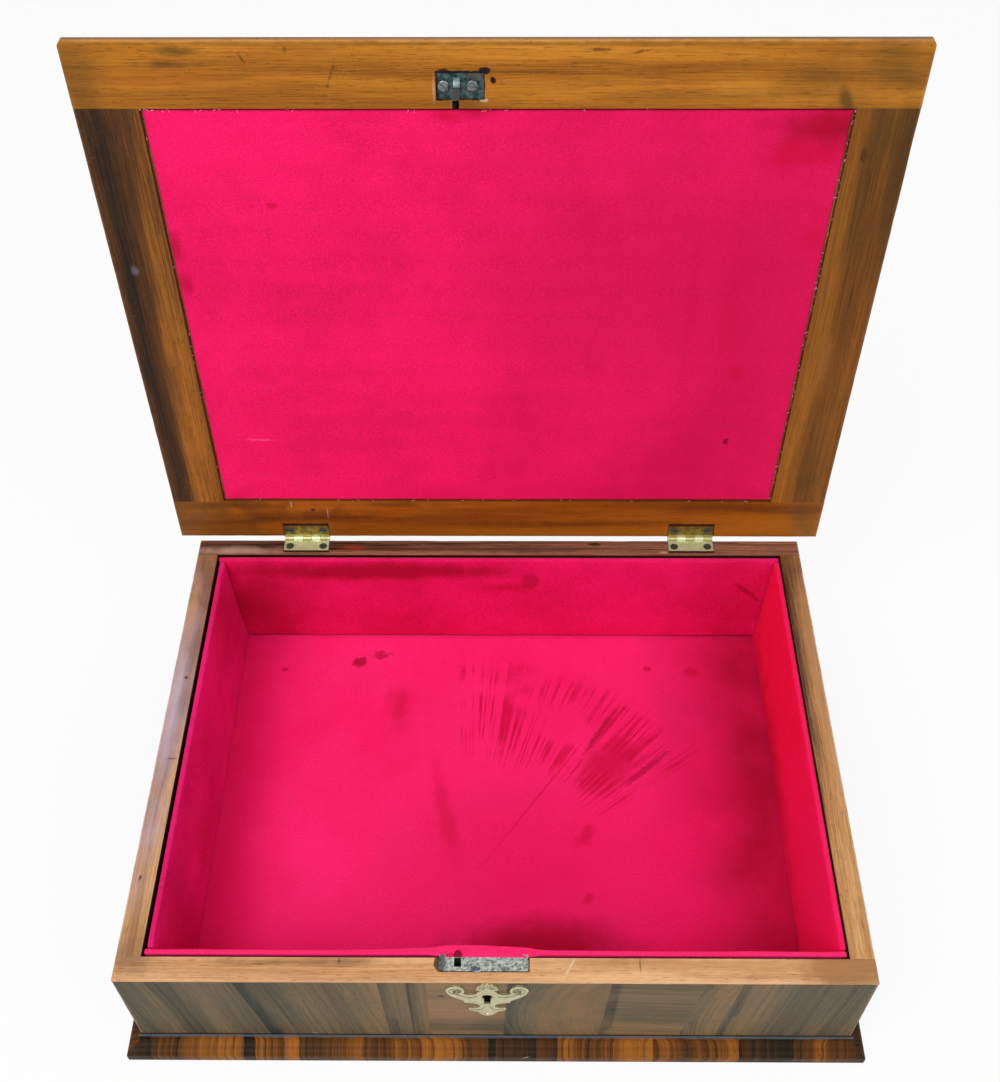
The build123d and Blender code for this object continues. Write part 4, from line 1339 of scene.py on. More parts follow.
RAIL_RED = WoodFinish(
    "red_walnut_rail", srgb(88, 38, 8), srgb(150, 84, 16), srgb(182, 108, 30), srgb(180, 120, 66),
    pitch=9 * MM, waviness=20 * MM, ring_share=0.14, contrast=0.62, streaks=0.55, wear=0.4,
    pore_depth=0.3, marks=(
        LidMark((-208, 20), (24, 4, 15), srgb(58, 40, 16), 0.75, 16, 9, 60),
        LidMark((-176, 29), (30, 4, 3), srgb(60, 34, 16), 0.6, 6, 3, 90),
        LidMark((-140, 20), (46, 4, 5), BRUISE, 0.5, 10, 4, 90),
        LidMark((-80, 30), (30, 4, 2), BRUISE, 0.5, 5, 2, 90),
        LidMark((216, 14), (10, 4, 12), MOSS, 0.6, 10, 5, 80),
        LidMark((160, 26), (40, 4, 4), BRUISE, 0.35, 8, 4, 80),
        LidMark((60, 12), (60, 4, 2.4), BRUISE, 0.4, 5, 2, 90),
        LidMark((-131, 25), (1.6, 4, 1.6), BRUISE, 0.8, 1.6, fine=500),
        LidMark((-146, 30), (0.5, 4, 2), PALE, 0.5, 2, fine=500),
        LidMark((-121, 22), (0.4, 4, 4), PALE, 0.35, 1.4, fine=500), *LID_SEAT_SHADES, OUTSIDE))
RIM_HONEY = WoodFinish(
    "honey_walnut_rim", srgb(124, 78, 40), srgb(200, 147, 98), srgb(230, 182, 132), srgb(208, 168, 138),
    pitch=6 * MM, waviness=18 * MM, ring_share=0.15, contrast=0.86, streaks=1.0, wear=0.5, grime=0.6,
    pore_depth=0.45, marks=(
        Mark((-150, -163, 95), (60, 2.2, 3), srgb(150, 106, 70), 0.25, 4, 2, 70),
        Mark((-84, -156, 95), (16, 2.4, 3), srgb(120, 84, 54), 0.5, 5, 2, 90),
        Mark((203, -160, 95), (26, 12, 12), srgb(140, 96, 56), 0.75, 14, 6, 60),
        Mark((150, -165, 95), (30, 1.6, 3), srgb(140, 96, 56), 0.5, 4, 2, 80),
        Mark((64, -156, 95), (34, 1.8, 3), srgb(150, 104, 62), 0.5, 4, 2, 80),
        Mark((110, -158, 95), (70, 4, 3), srgb(174, 122, 70), 0.62, 6, 3, 60),
        Mark((-88, -155.6, 95), (0.4, 2, 3), BRUISE, 0.8, 0.8),
        Mark((82, -158, 95), (0.4, 3, 3), BRUISE, 0.7, 0.8),
        Mark((-206, -152, 95), (11, 9, 4), srgb(96, 74, 66), 0.6, 8, 5, 110),
        Mark((42, -160, 95), (0.5, 5, 3), PALE, 0.9, 1.4, fine=500, turn=(0.0, 0.0, 0.5)),
        Mark((-212, -113, 95), (1.6, 2.4, 3), BRUISE, 0.8, 1),
        Mark((-120, -156.5, 95), (40, 1.6, 3), BRUISE, 0.35, 3, 1, 120),
        # Painted shade: black gaps round the lock plate in its mortise.
        Mark((-32, -157, 95), (2.4, 4.4, 3), SHADE_AND_STREAK_BLACK, 0.85, 1.4),
        Mark((-6.3, -157, 95), (25.7, 5.5, 3), SHADE_AND_STREAK_BLACK, 0.95, 0.5, 0.2, square=True), WELL_SHADE))
RIM_FADED = WoodFinish(
    "faded_walnut_side_rim", srgb(88, 54, 26), srgb(176, 124, 70), srgb(216, 168, 110),
    srgb(232, 204, 190), pitch=6 * MM, waviness=16 * MM, ring_share=0.2, contrast=0.85, streaks=1.0,
    wear=0.6, grime=0.7, pore_depth=0.4, roughness=0.34, specular=0.3, marks=(
        Mark((206, 140, 95), (8, 12, 3), srgb(96, 58, 34), 0.75, 9, 6, 90),
        Mark((211, 40, 95), (3, 60, 3), srgb(186, 140, 92), 0.6, 6, 3, 60),
        Mark((202, 60, 95), (0.9, 70, 3), SHADE_AND_STREAK_BLACK, 0.7, 1.4, fine=90), WELL_SHADE))
RIM_SHEEN = replace(
    RIM_FADED, name="sheeny_walnut_side_rim", marks=(
        # Painted reflection: a lilac sheen of light on the middle of the left rim.
        Mark((-210, 24, 95), (5, 66, 3), srgb(188, 176, 196), 0.9, 7, 6, 34),
        Mark((-204, 60, 95), (3, 60, 3), srgb(120, 96, 96), 0.7, 6, 3, 50),
        Mark((-208, 132, 95), (12, 34, 3), srgb(112, 68, 42), 0.8, 14, 9, 50),
        Mark((-211, 104, 95), (2.4, 24, 3), srgb(196, 146, 100), 0.6, 5, 2, 70),
        Mark((-206, -148, 95), (14, 12, 3), srgb(110, 74, 54), 0.6, 9, 6, 70),
        Mark((-206, 44, 95), (1.2, 1.2, 3), BRUISE, 0.9, 0.8),
        Mark((-205, -20, 95), (3, 0.5, 3), BRUISE, 0.8, 0.8),
        Mark((-210, -104, 95), (1.0, 1.6, 3), BRUISE, 0.8, 1), WELL_SHADE))
RIM_ROSE = WoodFinish(
    "reddish_rosewood_rim", srgb(46, 28, 20), srgb(130, 82, 62), srgb(184, 126, 98),
    srgb(196, 150, 130), pitch=4 * MM, contrast=1.0, streaks=1.0, wear=0.5, marks=(
        Mark((-190, 158, 95), (26, 3, 3), srgb(206, 164, 146), 0.7, 5, 3, 90),
        Mark((-104, 161, 95), (9, 3, 3), srgb(150, 60, 34), 0.6, 5, 2, 120),
        Mark((20, 160, 95), (52, 2.4, 3), srgb(60, 42, 38), 0.55, 4, 2, 80),
        Mark((69, 164.6, 95), (5, 1.4, 3), SHADE_AND_STREAK_BLACK, 0.8, 1.6),
        Mark((118, 157, 95), (3, 0.8, 3), PALE, 0.5, 1), *HINGE_SEAT_SHADES, WELL_SHADE))
FACE_WALNUT = WoodFinish(
    "dark_veneer", srgb(34, 38, 30), srgb(104, 86, 62), srgb(148, 112, 72), srgb(190, 156, 124),
    pitch=5.0 * MM, waviness=16 * MM, ring_share=0.46, contrast=0.5, streaks=0.8, wear=0.5,
    roughness=0.46, specular=0.09, coat=0.0, marks=(
        Mark((-190, -168, 74), (60, 3, 24), srgb(84, 88, 74), 0.35, 20, 14, 30),
        Mark((34, -168, 55), (22, 3, 48), srgb(76, 84, 72), 0.35, 9, 5, 50),
        Mark((186, -168, 55), (30, 3, 48), srgb(88, 90, 76), 0.35, 20, 12, 30),
        Mark((46, -168, 50), (12, 3, 30), srgb(146, 104, 64), 0.5, 12, 6, 60),
        Mark((-24, -168, 52), (15, 3, 36), srgb(150, 116, 86), 0.3, 8, 5, 80),
        Mark((0, -168.2, 17.2), (217, 3, 1.6), SHADE_AND_STREAK_BLACK, 0.85, 1.2, 0.9, square=True),
        Mark((-31, -168, 75), (1.6, 3, 1.4), BRUISE, 0.8),
        Mark((-109, -168, 20), (1.5, 3, 0.3), PALE, 0.55, 0.5, turn=(0.0, -0.4, 0.0)), KEY_SHADE))
PLINTH_WALNUT = WoodFinish(
    "plinth_veneer", srgb(28, 22, 10), srgb(88, 50, 12), srgb(156, 94, 28), srgb(150, 128, 112),
    pitch=6.0 * MM, waviness=14 * MM, ring_share=0.8, contrast=0.66, streaks=0.7, wear=0.0,
    roughness=0.44, specular=0.1, coat=0.0, marks=(
        # Painted highlight: a bluish reflection along the top fillet of the moulding.
        Mark((0, -168.9, 16.6), (218, 0.75, 0.7), srgb(92, 102, 114), 0.75, 0.9, 0.3, 90, square=True),
        Mark((69.7, -175, 8), (0.25, 6, 6), SHADE_AND_STREAK_BLACK, 0.9, 0.4),
        Mark((18, -178, 6), (1.3, 3, 0.3), PALE, 0.6, 0.5, turn=(0.0, 0.5, 0.0))))
FIELD_WALNUT = WoodFinish(
    "lid_field_veneer", srgb(56, 38, 24), srgb(106, 68, 36), srgb(150, 100, 56),
    srgb(170, 125, 85), pitch=4 * MM, waviness=22 * MM, ring_share=0.6, contrast=0.7, wear=0.5)
RAW_PINE = WoodFinish(
    "aged_pine", srgb(130, 88, 48), srgb(186, 140, 86), srgb(214, 172, 116), srgb(220, 185, 135),
    pitch=3.6 * MM, waviness=8 * MM, coat=0.0, wear=0.3, grime=0.7, roughness=0.75, marks=(
        WELL_SHADE, KEY_SHADE))


# ----- Finishes of this box: metal -----
IRON = MetalFinish(
    "worn_iron_plate", srgb(196, 207, 198), srgb(78, 89, 84), srgb(40, 42, 42), roughness=0.34,
    tarnish_amount=0.9, pit_amount=0.8, fineness=2.2, marks=(
        Mark((-30, -157, 95), (2.2, 6, 3), srgb(58, 78, 86), 0.8, 2),
        Mark((-11, -160.4, 95), (2.6, 1.6, 3), srgb(60, 76, 92), 0.85, 1),
        Mark((6, -160.6, 95), (2.4, 1.2, 3), srgb(70, 84, 100), 0.7, 1)))
SCREW_STEEL = MetalFinish("dull_screw_steel", srgb(128, 134, 134), srgb(70, 80, 82),
                          srgb(30, 32, 32), roughness=0.24)
DARK_IRON = MetalFinish("dark_screw_iron", srgb(112, 118, 112), srgb(56, 60, 58),
                        srgb(26, 26, 24), roughness=0.36)
BLUED = MetalFinish(
    "blue_green_steel", srgb(88, 110, 110), srgb(18, 44, 46), srgb(10, 16, 16), roughness=0.42,
    tarnish_amount=0.85, marks=(
        LidMark((-11, 332), (5, 4, 3), srgb(100, 92, 84), 0.6, 3, 1),
        LidMark((-21, 325.6, 17.0), (3, 0.6, 3), SHADE_AND_STREAK_BLACK, 1.0, square=True)))
TONGUE_STEEL = MetalFinish(
    "grey_tongue_steel", srgb(140, 150, 150), srgb(70, 84, 86), srgb(30, 34, 34), roughness=0.4,
    tarnish_amount=0.7, marks=(
        LidMark((-21, 326, 16.9), (4, 0.7, 4), SHADE_AND_STREAK_BLACK, 1.0, square=True),))
BRASS = MetalFinish(
    "pale_brass", srgb(198, 192, 150), srgb(150, 142, 98), srgb(70, 66, 44), roughness=0.3,
    tarnish_amount=0.35, pit_amount=0.35, metallic=0.85, marks=(
        Mark((-21.3, -169.6, 84.1), (2.4, 2, 2.2), srgb(70, 68, 46), 0.75, 1, 0.6),
        Mark((12.7, -169.6, 84.1), (2.4, 2, 2.2), srgb(70, 68, 46), 0.75, 1, 0.6),
        Mark((-12.4, -169.6, 63.9), (3.0, 2, 1.1), srgb(60, 60, 42), 0.7, 0.8, 0.4),
        Mark((3.8, -169.6, 63.9), (3.0, 2, 1.1), srgb(60, 60, 42), 0.7, 0.8, 0.4),
        Mark((-4.3, -169.6, 70.2), (1.6, 2, 1.0), srgb(244, 242, 228), 0.9, 0.5)))
# Painted shade with real dirt: the dark of the chased grooves, along with the old polish in them.
GROOVE_SHADE_AND_POLISH = MetalFinish(
    "old_polish_in_lines", srgb(96, 92, 62), srgb(58, 56, 38), srgb(34, 32, 22), roughness=0.5,
    metallic=0.3)
# Lit and shaded copies of one hinge brass: this pale one where the case leaves and pins catch the
# light.
LIT_HINGE_BRASS = MetalFinish(
    "gold_hinge_brass", srgb(222, 230, 190), srgb(166, 166, 126), srgb(84, 80, 56),
    roughness=0.3, tarnish_amount=0.4, pit_amount=0.3, metallic=0.6)
# The shaded copy: olive where the lid leaves stand in shade.
SHADED_LEAF_BRASS = MetalFinish(
    "olive_brass", srgb(150, 128, 66), srgb(78, 64, 34), srgb(44, 38, 24), roughness=0.36,
    tarnish_amount=0.6, marks=tuple(
        # Painted highlight: brighter knuckles along the lid leaves.
        Mark((x, 170, 95.4), (18, 2.6, 3.2), srgb(204, 200, 142), 0.6, 0.6, 0.4, square=True)
        for x in HINGE_PLACES))


# ----- Finishes of this box: velvet, one cloth in lit and shaded copies -----
# Darker crimson: nap pressed flat, and also painted shadow cast by the catch tongue on the lid's pad.
PRESSED_NAP_AND_SHADE = srgb(196, 4, 54)
SHADED = srgb(160, 2, 36)
# Dark red: a real stain on the lid's pad, and painted shade in the crease at the back lining's foot and
# in the notch at the front lining's top.
STAIN_AND_CREASE_SHADE = srgb(120, 2, 30)
# Painted shade, for the darker band along the floor's right side.
RIGHT_BAND_SHADE = srgb(150, 0, 24)
FRAYED = srgb(238, 128, 166)
PAD_BORDERS = tuple(
    LidMark(place, half, FRAYED, 0.85, ragged, 0.3, 520, square=True, turn=(0.0, turn, 0.0))
    for place, half, ragged, turn in (((0, 314.0), (194, 9, 0.45), 1.6, 0.0),
                                      ((0, 33.2), (192, 9, 0.4), 1.6, 0.0),
                                      ((-192.6, 174), (0.35, 30, 140), 1.6, 0.0),
                                      ((191.8, 174), (0.35, 30, 140), 2.4, -0.0102)))
PAD_VELVET = VelvetFinish(
    "lid_velvet", srgb(252, 26, 107), srgb(202, 10, 74), PRESSED_NAP_AND_SHADE, turn=(0.0, 1.57, 0.0), patch=0.42,
    marks=(
        LidMark((160, 200), (90, 30, 190), srgb(186, 10, 66), 0.8, 60, 60, 12),
        LidMark((184, 304), (26, 9, 8), SHADED, 0.85, 16, 6, 60),
        LidMark((170, 288), (16, 9, 7), PRESSED_NAP_AND_SHADE, 0.7, 18, 6, 60),
        LidMark((184, 236), (8, 9, 9), PRESSED_NAP_AND_SHADE, 0.5, 14, 6, 60),
        LidMark((143, 190), (6, 9, 46), PRESSED_NAP_AND_SHADE, 0.35, 14, 8, 50),
        LidMark((118, 190), (2.4, 9, 60), PRESSED_NAP_AND_SHADE, 0.3, 6, 4, 50),
        LidMark((52, 246), (12, 9, 14), PRESSED_NAP_AND_SHADE, 0.3, 18, 9, 40),
        # Painted shadow: dark spots below the catch tongue.
        LidMark((-28, 310), (6, 9, 3), PRESSED_NAP_AND_SHADE, 0.7, 6, 3, 130),
        LidMark((-9, 312), (7, 9, 2), PRESSED_NAP_AND_SHADE, 0.7, 4, 2, 160),
        LidMark((-189, 232), (4, 9, 8), SHADED, 0.55, 6, 3, 120),
        LidMark((-187, 207), (4, 9, 6), SHADED, 0.55, 6, 3, 120),
        LidMark((-128, 258), (3, 9, 1.6), PRESSED_NAP_AND_SHADE, 0.75, 3, 1, 220),
        LidMark((152, 143), (5, 9, 6), PRESSED_NAP_AND_SHADE, 0.5, 9, 3, 120),
        LidMark((152.6, 87), (1.9, 9, 2.4), STAIN_AND_CREASE_SHADE, 0.85, 2.4, fine=300),
        LidMark((-160, 88), (8, 9, 1.0), srgb(255, 90, 150), 0.4, 2), *PAD_BORDERS))
# Lit copy of the velvet: brighter colours paint the light on the floor.
FLOOR_VELVET = VelvetFinish(
    "floor_velvet", srgb(255, 44, 130), srgb(241, 16, 92), PRESSED_NAP_AND_SHADE, patch=0.42,
    fan=Fan(millimetres(-18.8, -75.6, 8), 126 * MM, 204 * MM, -3.0, 53.0, closeness=58.0, depth=0.78),
    marks=(
        Mark((16, -46, 8), (84, 56, 60), PRESSED_NAP_AND_SHADE, 0.3, 60, 40, 22),
        # Painted shade: the darker band along the floor's right side.
        Mark((184, -10, 8), (26, 150, 9), RIGHT_BAND_SHADE, 1.0, 30, 22, 22),
        Mark((120, -60, 8), (70, 90, 9), PRESSED_NAP_AND_SHADE, 0.35, 50, 40, 18),
        Mark((-184, -20, 8), (16, 150, 9), srgb(206, 10, 78), 0.65, 12, 12, 30),
        Mark((30, -110, 8), (48, 21, 9), SHADED, 0.85, 9, 5, 50),
        Mark((-36, -6, 8), (5, 34, 9), PRESSED_NAP_AND_SHADE, 0.45, 9, 4, 80, turn=(0.0, 0.0, -0.22)),
        Mark((80, 34, 8), (15, 22, 9), PRESSED_NAP_AND_SHADE, 0.7, 16, 5, 80, turn=(0.0, 0.0, 0.6)),
        Mark((74, 62, 8), (2.0, 20, 9), SHADED, 0.7, 3, 1, turn=(0.0, 0.0, 0.56)),
        Mark((104, 29, 8), (2.4, 21, 9), SHADED, 0.6, 3, 1, turn=(0.0, 0.0, 0.85)),
        Mark((28, 6, 8), (0.8, 52, 9), PRESSED_NAP_AND_SHADE, 0.5, 1.6, turn=(0.0, 0.0, 0.62)),
        Mark((-104, 124, 8), (5, 4, 9), SHADED, 0.8, 9, 1.5, 170),
        Mark((-89, 131, 8), (6, 3, 9), SHADED, 0.6, 9, 1, 240),
        Mark((-72, 85, 8), (6, 11, 9), PRESSED_NAP_AND_SHADE, 0.65, 20, 9, 90),
        Mark((60, -25, 8), (4, 8, 9), PRESSED_NAP_AND_SHADE, 0.6, 10, 3, 120, turn=(0.0, 0.0, 0.6)),
        Mark((60, -72, 8), (4, 4, 9), PRESSED_NAP_AND_SHADE, 0.55, 7, 2, 170),
        Mark((111, 118, 8), (3, 2.6, 9), PRESSED_NAP_AND_SHADE, 0.7, 5, fine=220),
        Mark((145, 115, 8), (6, 4, 9), PRESSED_NAP_AND_SHADE, 0.6, 9, 2, 150),
        Mark((-160, 117, 8), (2.6, 1.6, 9), SHADED, 0.6, 3, fine=300)))
# Painted highlight: a brighter pink band where light catches the linings' top edges.
LINING_TOP_HIGHLIGHT = Mark((0, 0, 95), (230, 190, 1.9), srgb(248, 46, 110), 0.4, 1.2, 0.8, square=True)
BACK_VELVET = VelvetFinish(
    "back_lining_velvet", srgb(244, 22, 108), srgb(194, 4, 64), PRESSED_NAP_AND_SHADE, turn=(1.57, 0.0, 0.0),
    patch=0.5, marks=(
        Mark((-176, 149, 50), (22, 9, 46), SHADED, 0.75, 18, 12, 40),
        Mark((-84, 149, 83), (92, 9, 8), SHADED, 0.8, 9, 4, 70),
        # Painted shade: a dark line in the crease where the back lining meets the floor.
        Mark((0, 149, 9), (200, 9, 1.0), STAIN_AND_CREASE_SHADE, 0.7, 1.4, 0.6, 80, square=True),
        Mark((23, 149, 73), (7, 9, 8), SHADED, 0.55, 6, 2, 150),
        Mark((5, 149, 65), (14, 9, 4), PRESSED_NAP_AND_SHADE, 0.7, 10, 3, 110),
        Mark((182, 149, 61), (13, 9, 2.2), SHADED, 0.6, 3, 1, turn=(0.0, -0.75, 0.0)), LINING_TOP_HIGHLIGHT))
# Shaded copy of the velvet: its darker deep colour paints the shade on the left lining.
LEFT_VELVET = VelvetFinish(
    "left_lining_velvet", srgb(244, 28, 128), srgb(184, 8, 80), PRESSED_NAP_AND_SHADE, turn=(0.0, 1.57, 0.0),
    patch=0.5, marks=(
        Mark((-194, 120, 62), (9, 30, 34), SHADED, 0.55, 16, 12, 40),
        Mark((-194, -20, 30), (9, 60, 12), SHADED, 0.35, 14, 10, 40),
        Mark((-193, -120, 50), (9, 26, 46), SHADED, 0.4, 12, 9, 50), LINING_TOP_HIGHLIGHT))
# Lit copy of the velvet: its brighter deep colour paints the light on the right lining.
RIGHT_VELVET = VelvetFinish(
    "right_lining_velvet", srgb(255, 20, 86), srgb(226, 10, 62), PRESSED_NAP_AND_SHADE, turn=(0.0, 1.57, 0.0), marks=(
        # Painted light: the upper front of the right lining, brighter where light falls.
        Mark((196, -100, 56), (12, 56, 44), srgb(240, 26, 104), 0.85, 26, 22, 26),
        Mark((194, 30, 12), (9, 90, 16), SHADED, 0.6, 16, 10, 36), LINING_TOP_HIGHLIGHT))
FRONT_VELVET = VelvetFinish(
    "front_lining_velvet", srgb(255, 48, 118), srgb(234, 26, 94), PRESSED_NAP_AND_SHADE, turn=(1.57, 0.0, 0.0),
    marks=(
        replace(LINING_TOP_HIGHLIGHT, depth=0.12),
        # Painted shade: the dark notch where the bolt's slot runs under the front lining's top.
        Mark((-20.8, -152.4, 95), (2.4, 3.2, 4), STAIN_AND_CREASE_SHADE, 0.9, 0.8),
        Mark((-26, -153, 95), (7, 1.6, 4), STAIN_AND_CREASE_SHADE, 0.45, 1.6)))
THREAD_VELVET = VelvetFinish("pale_threads", srgb(246, 176, 200), srgb(226, 120, 160), PRESSED_NAP_AND_SHADE)


# ----- The case -----
@dataclass
class CaseShell:
    """Rims, veneers and plinth, and the plain boards behind them."""

    rim_level: float = 94.5 * MM
    outer_half: tuple[float, float] = (0.2135, 0.1665)
    front_leaves: tuple[Leaf, ...] = (
        Leaf(-0.2150, 7.5, 0.40, end_tone=0.14),
        Leaf(-0.1420, 9.0, 0.38, end_tone=0.20, edge_tone=-0.40),
        Leaf(-0.0650, 2.0, 0.44, edge_tone=-0.30),
        Leaf(-0.0500, 1.0, 0.46, edge_tone=-0.22),
        Leaf(-0.0390, 0.0, 0.60, ripple=True),
        Leaf(0.0060, -2.0, 0.36, end_tone=0.22, arch=-6.0, edge_tone=-0.10),
        Leaf(0.0520, -3.0, 0.62, end_tone=-0.1, arch=-6.0),
        Leaf(0.0640, -3.0, 0.56, edge_tone=-0.36, ripple=True),
        Leaf(0.1150, -6.0, 0.56, arch=-3.0), Leaf(0.1360, -6.0, 0.46, edge_tone=-0.32))
    side_leaves: tuple[Leaf, ...] = (
        Leaf(-0.1690, 5.0, 0.40), Leaf(-0.0930, -4.0, 0.52, arch=2.0, edge_tone=-0.3),
        Leaf(-0.0210, 3.0, 0.36), Leaf(0.0480, 0.0, 0.50, ripple=True),
        Leaf(0.1080, -6.0, 0.42, edge_tone=-0.3))
    back_leaves: tuple[Leaf, ...] = (
        Leaf(-0.2150, 3.0, 0.38), Leaf(-0.0720, -4.0, 0.50, arch=1.4), Leaf(0.0710, 4.0, 0.42))
    front_blocks: tuple[Block, ...] = (
        Block(0.14, 0.0, 8.0), Block(0.38, 0.34, -26.0), Block(0.06), Block(0.70, 0.1, 6.0),
        Block(0.16, 0.5, -12.0), Block(0.44, 0.1, 5.0), Block(0.60, 0.16, 40.0), Block(0.04),
        Block(0.30, 0.1, 8.0), Block(0.70, 0.06, -20.0), Block(0.68, -0.1, 46.0),
        Block(0.02, 0.06), Block(0.58, 0.1, -8.0), Block(0.46, -0.1, 16.0))
    side_blocks: tuple[Block, ...] = (
        Block(0.24), Block(0.3, 0.2, 12.0), Block(0.62, 0.0, -18.0), Block(0.12), Block(0.5),
        Block(0.66, 0.0, 20.0), Block(0.28, 0.3), Block(0.6, 0.0, -8.0), Block(0.1),
        Block(0.55, 0.0, 9.0))

    def reached(self, middle: Vector) -> bool:
        """Tell the outer top arrises of the rim, which hands rub."""
        outer_x, outer_y = self.outer_half
        return middle.z > self.rim_level and (abs(middle.x) > outer_x or abs(middle.y) > outer_y)

    def upright(self, middle: Vector) -> bool:
        """Tell the upright corners of the walls, clear of the rim and the plinth."""
        return 20 * MM < middle.z < 80 * MM

    def moulded(self, middle: Vector) -> bool:
        """Tell the corners of the plinth's moulding."""
        return 4 * MM < middle.z < 15 * MM

    def front_tone(self, place: Vector) -> float:
        """Tone of the front rim, which comes and goes along it."""
        return 0.52 + 0.12 * math.sin(place.x * 21)

    def rims(self) -> None:
        """Build the facings of the rim."""
        shared = {"body": Body.CASE, "exposed": self.reached, "rub_width": 0.9 * MM}
        Board("front_rim", finish=RIM_HONEY, slot=Slot.WALNUT_HONEY, seed=11,
              tone=self.front_tone, **shared).build()
        Board("back_rim", finish=RIM_ROSE, slot=Slot.WALNUT_RED, seed=12, **shared).build()
        for name, seed, finish in (("left_rim", 13, RIM_SHEEN), ("right_rim", 14, RIM_FADED)):
            Board(name, finish=finish, slot=Slot.WALNUT_HONEY, along=Along.Y, seed=seed,
                  slices=(0.0, 6 * MM, 0.0), **shared).build()

    def walls(self) -> None:
        """Build the veneered walls."""
        shared = {"body": Body.CASE, "finish": FACE_WALNUT, "slot": Slot.WALNUT_DARK,
                  "along": Along.Z, "exposed": self.upright}
        VeneeredWall("front_veneer", seed=21, leaves=self.front_leaves,
                     slices=(6 * MM, 0.0, 6 * MM), **shared).build()
        VeneeredWall("back_veneer", seed=22, leaves=self.back_leaves,
                     slices=(8 * MM, 0.0, 8 * MM), **shared).build()
        for name, seed in (("left_veneer", 23), ("right_veneer", 24)):
            VeneeredWall(name, seed=seed, run=Along.Y, leaves=self.side_leaves,
                         slices=(0.0, 6 * MM, 6 * MM), **shared).build()

    def plinth(self) -> None:
        """Build the moulded facings of the plinth."""
        across, back = (4 * MM, 0.0, 2 * MM), (0.0, 4 * MM, 2 * MM)
        for name, seed, run, blocks, slices in (
                ("plinth_front", 31, Along.X, self.front_blocks, across),
                ("plinth_left", 32, Along.Y, self.side_blocks, back),
                ("plinth_right", 33, Along.Y, self.side_blocks, back)):
            BlockedPlinth(name, Body.CASE, PLINTH_WALNUT, Slot.WALNUT_DARK, seed=seed, run=run,
                          blocks=blocks, radius=0.2 * MM, rub_width=0.7 * MM, chip=0.15 * MM,
                          exposed=self.moulded, slices=slices).build()

    def carcase(self) -> None:
        """Build the boards behind the veneer, seen from below."""
        boards = (("front_board", Along.X), ("back_board", Along.X), ("left_board", Along.Y),
                  ("right_board", Along.Y), ("bottom_board", Along.X),
                  ("plinth_ground_front", Along.X), ("plinth_ground_left", Along.Y),
                  ("plinth_ground_right", Along.Y))
        for number, (name, along) in enumerate(boards):
            Board(name, Body.CASE, RAW_PINE, Slot.PINE, along=along, seed=40 + number,
                  exposed=lambda middle: False, slices=UNCUT).build()

    def build(self) -> None:
        """Build the whole shell."""
        self.rims()
        self.walls()
        self.plinth()
        self.carcase()


# ----- The lid -----
@dataclass(frozen=True)
class HandCutOpening:
    """How far the lid's opening departs from the squared one, edge by edge."""

    outer: float = 228.5 * MM
    left: float = -190.7 * MM
    right: float = 192.9 * MM
    rear: float = 35 * MM
    seats: float = 24 * MM
    front: float = 314.6 * MM
    left_shift: float = -2.3 * MM
    right_shift_rear: float = -1.6 * MM
    right_shift_front: float = 1.2 * MM
    rear_shift: float = -2.4 * MM

    def rear_edge(self, place: Vector) -> Vector:
        """Move a point of the rear rail, given in the lid's space."""
        move = self.rear_shift * hat(place.y, self.seats, self.rear, self.front)
        return place + Vector((0, move, 0))

    def all_edges(self, place: Vector) -> Vector:
        """Move a point of a stile or of the pad.

        Args:
            place: The point, in the lid's space.

        Returns:
            Where the hand-cut edge has it.
        """
        share = clamped((place.y - self.rear) / (self.front - self.rear))
        right_shift = (self.right_shift_rear
                       + (self.right_shift_front - self.right_shift_rear) * share)
        move = (self.left_shift * hat(place.x, -self.outer, self.left, 0.0)
                + right_shift * hat(place.x, 0.0, self.right, self.outer))
        return self.rear_edge(place) + Vector((move, 0, 0))


OPENING = HandCutOpening()


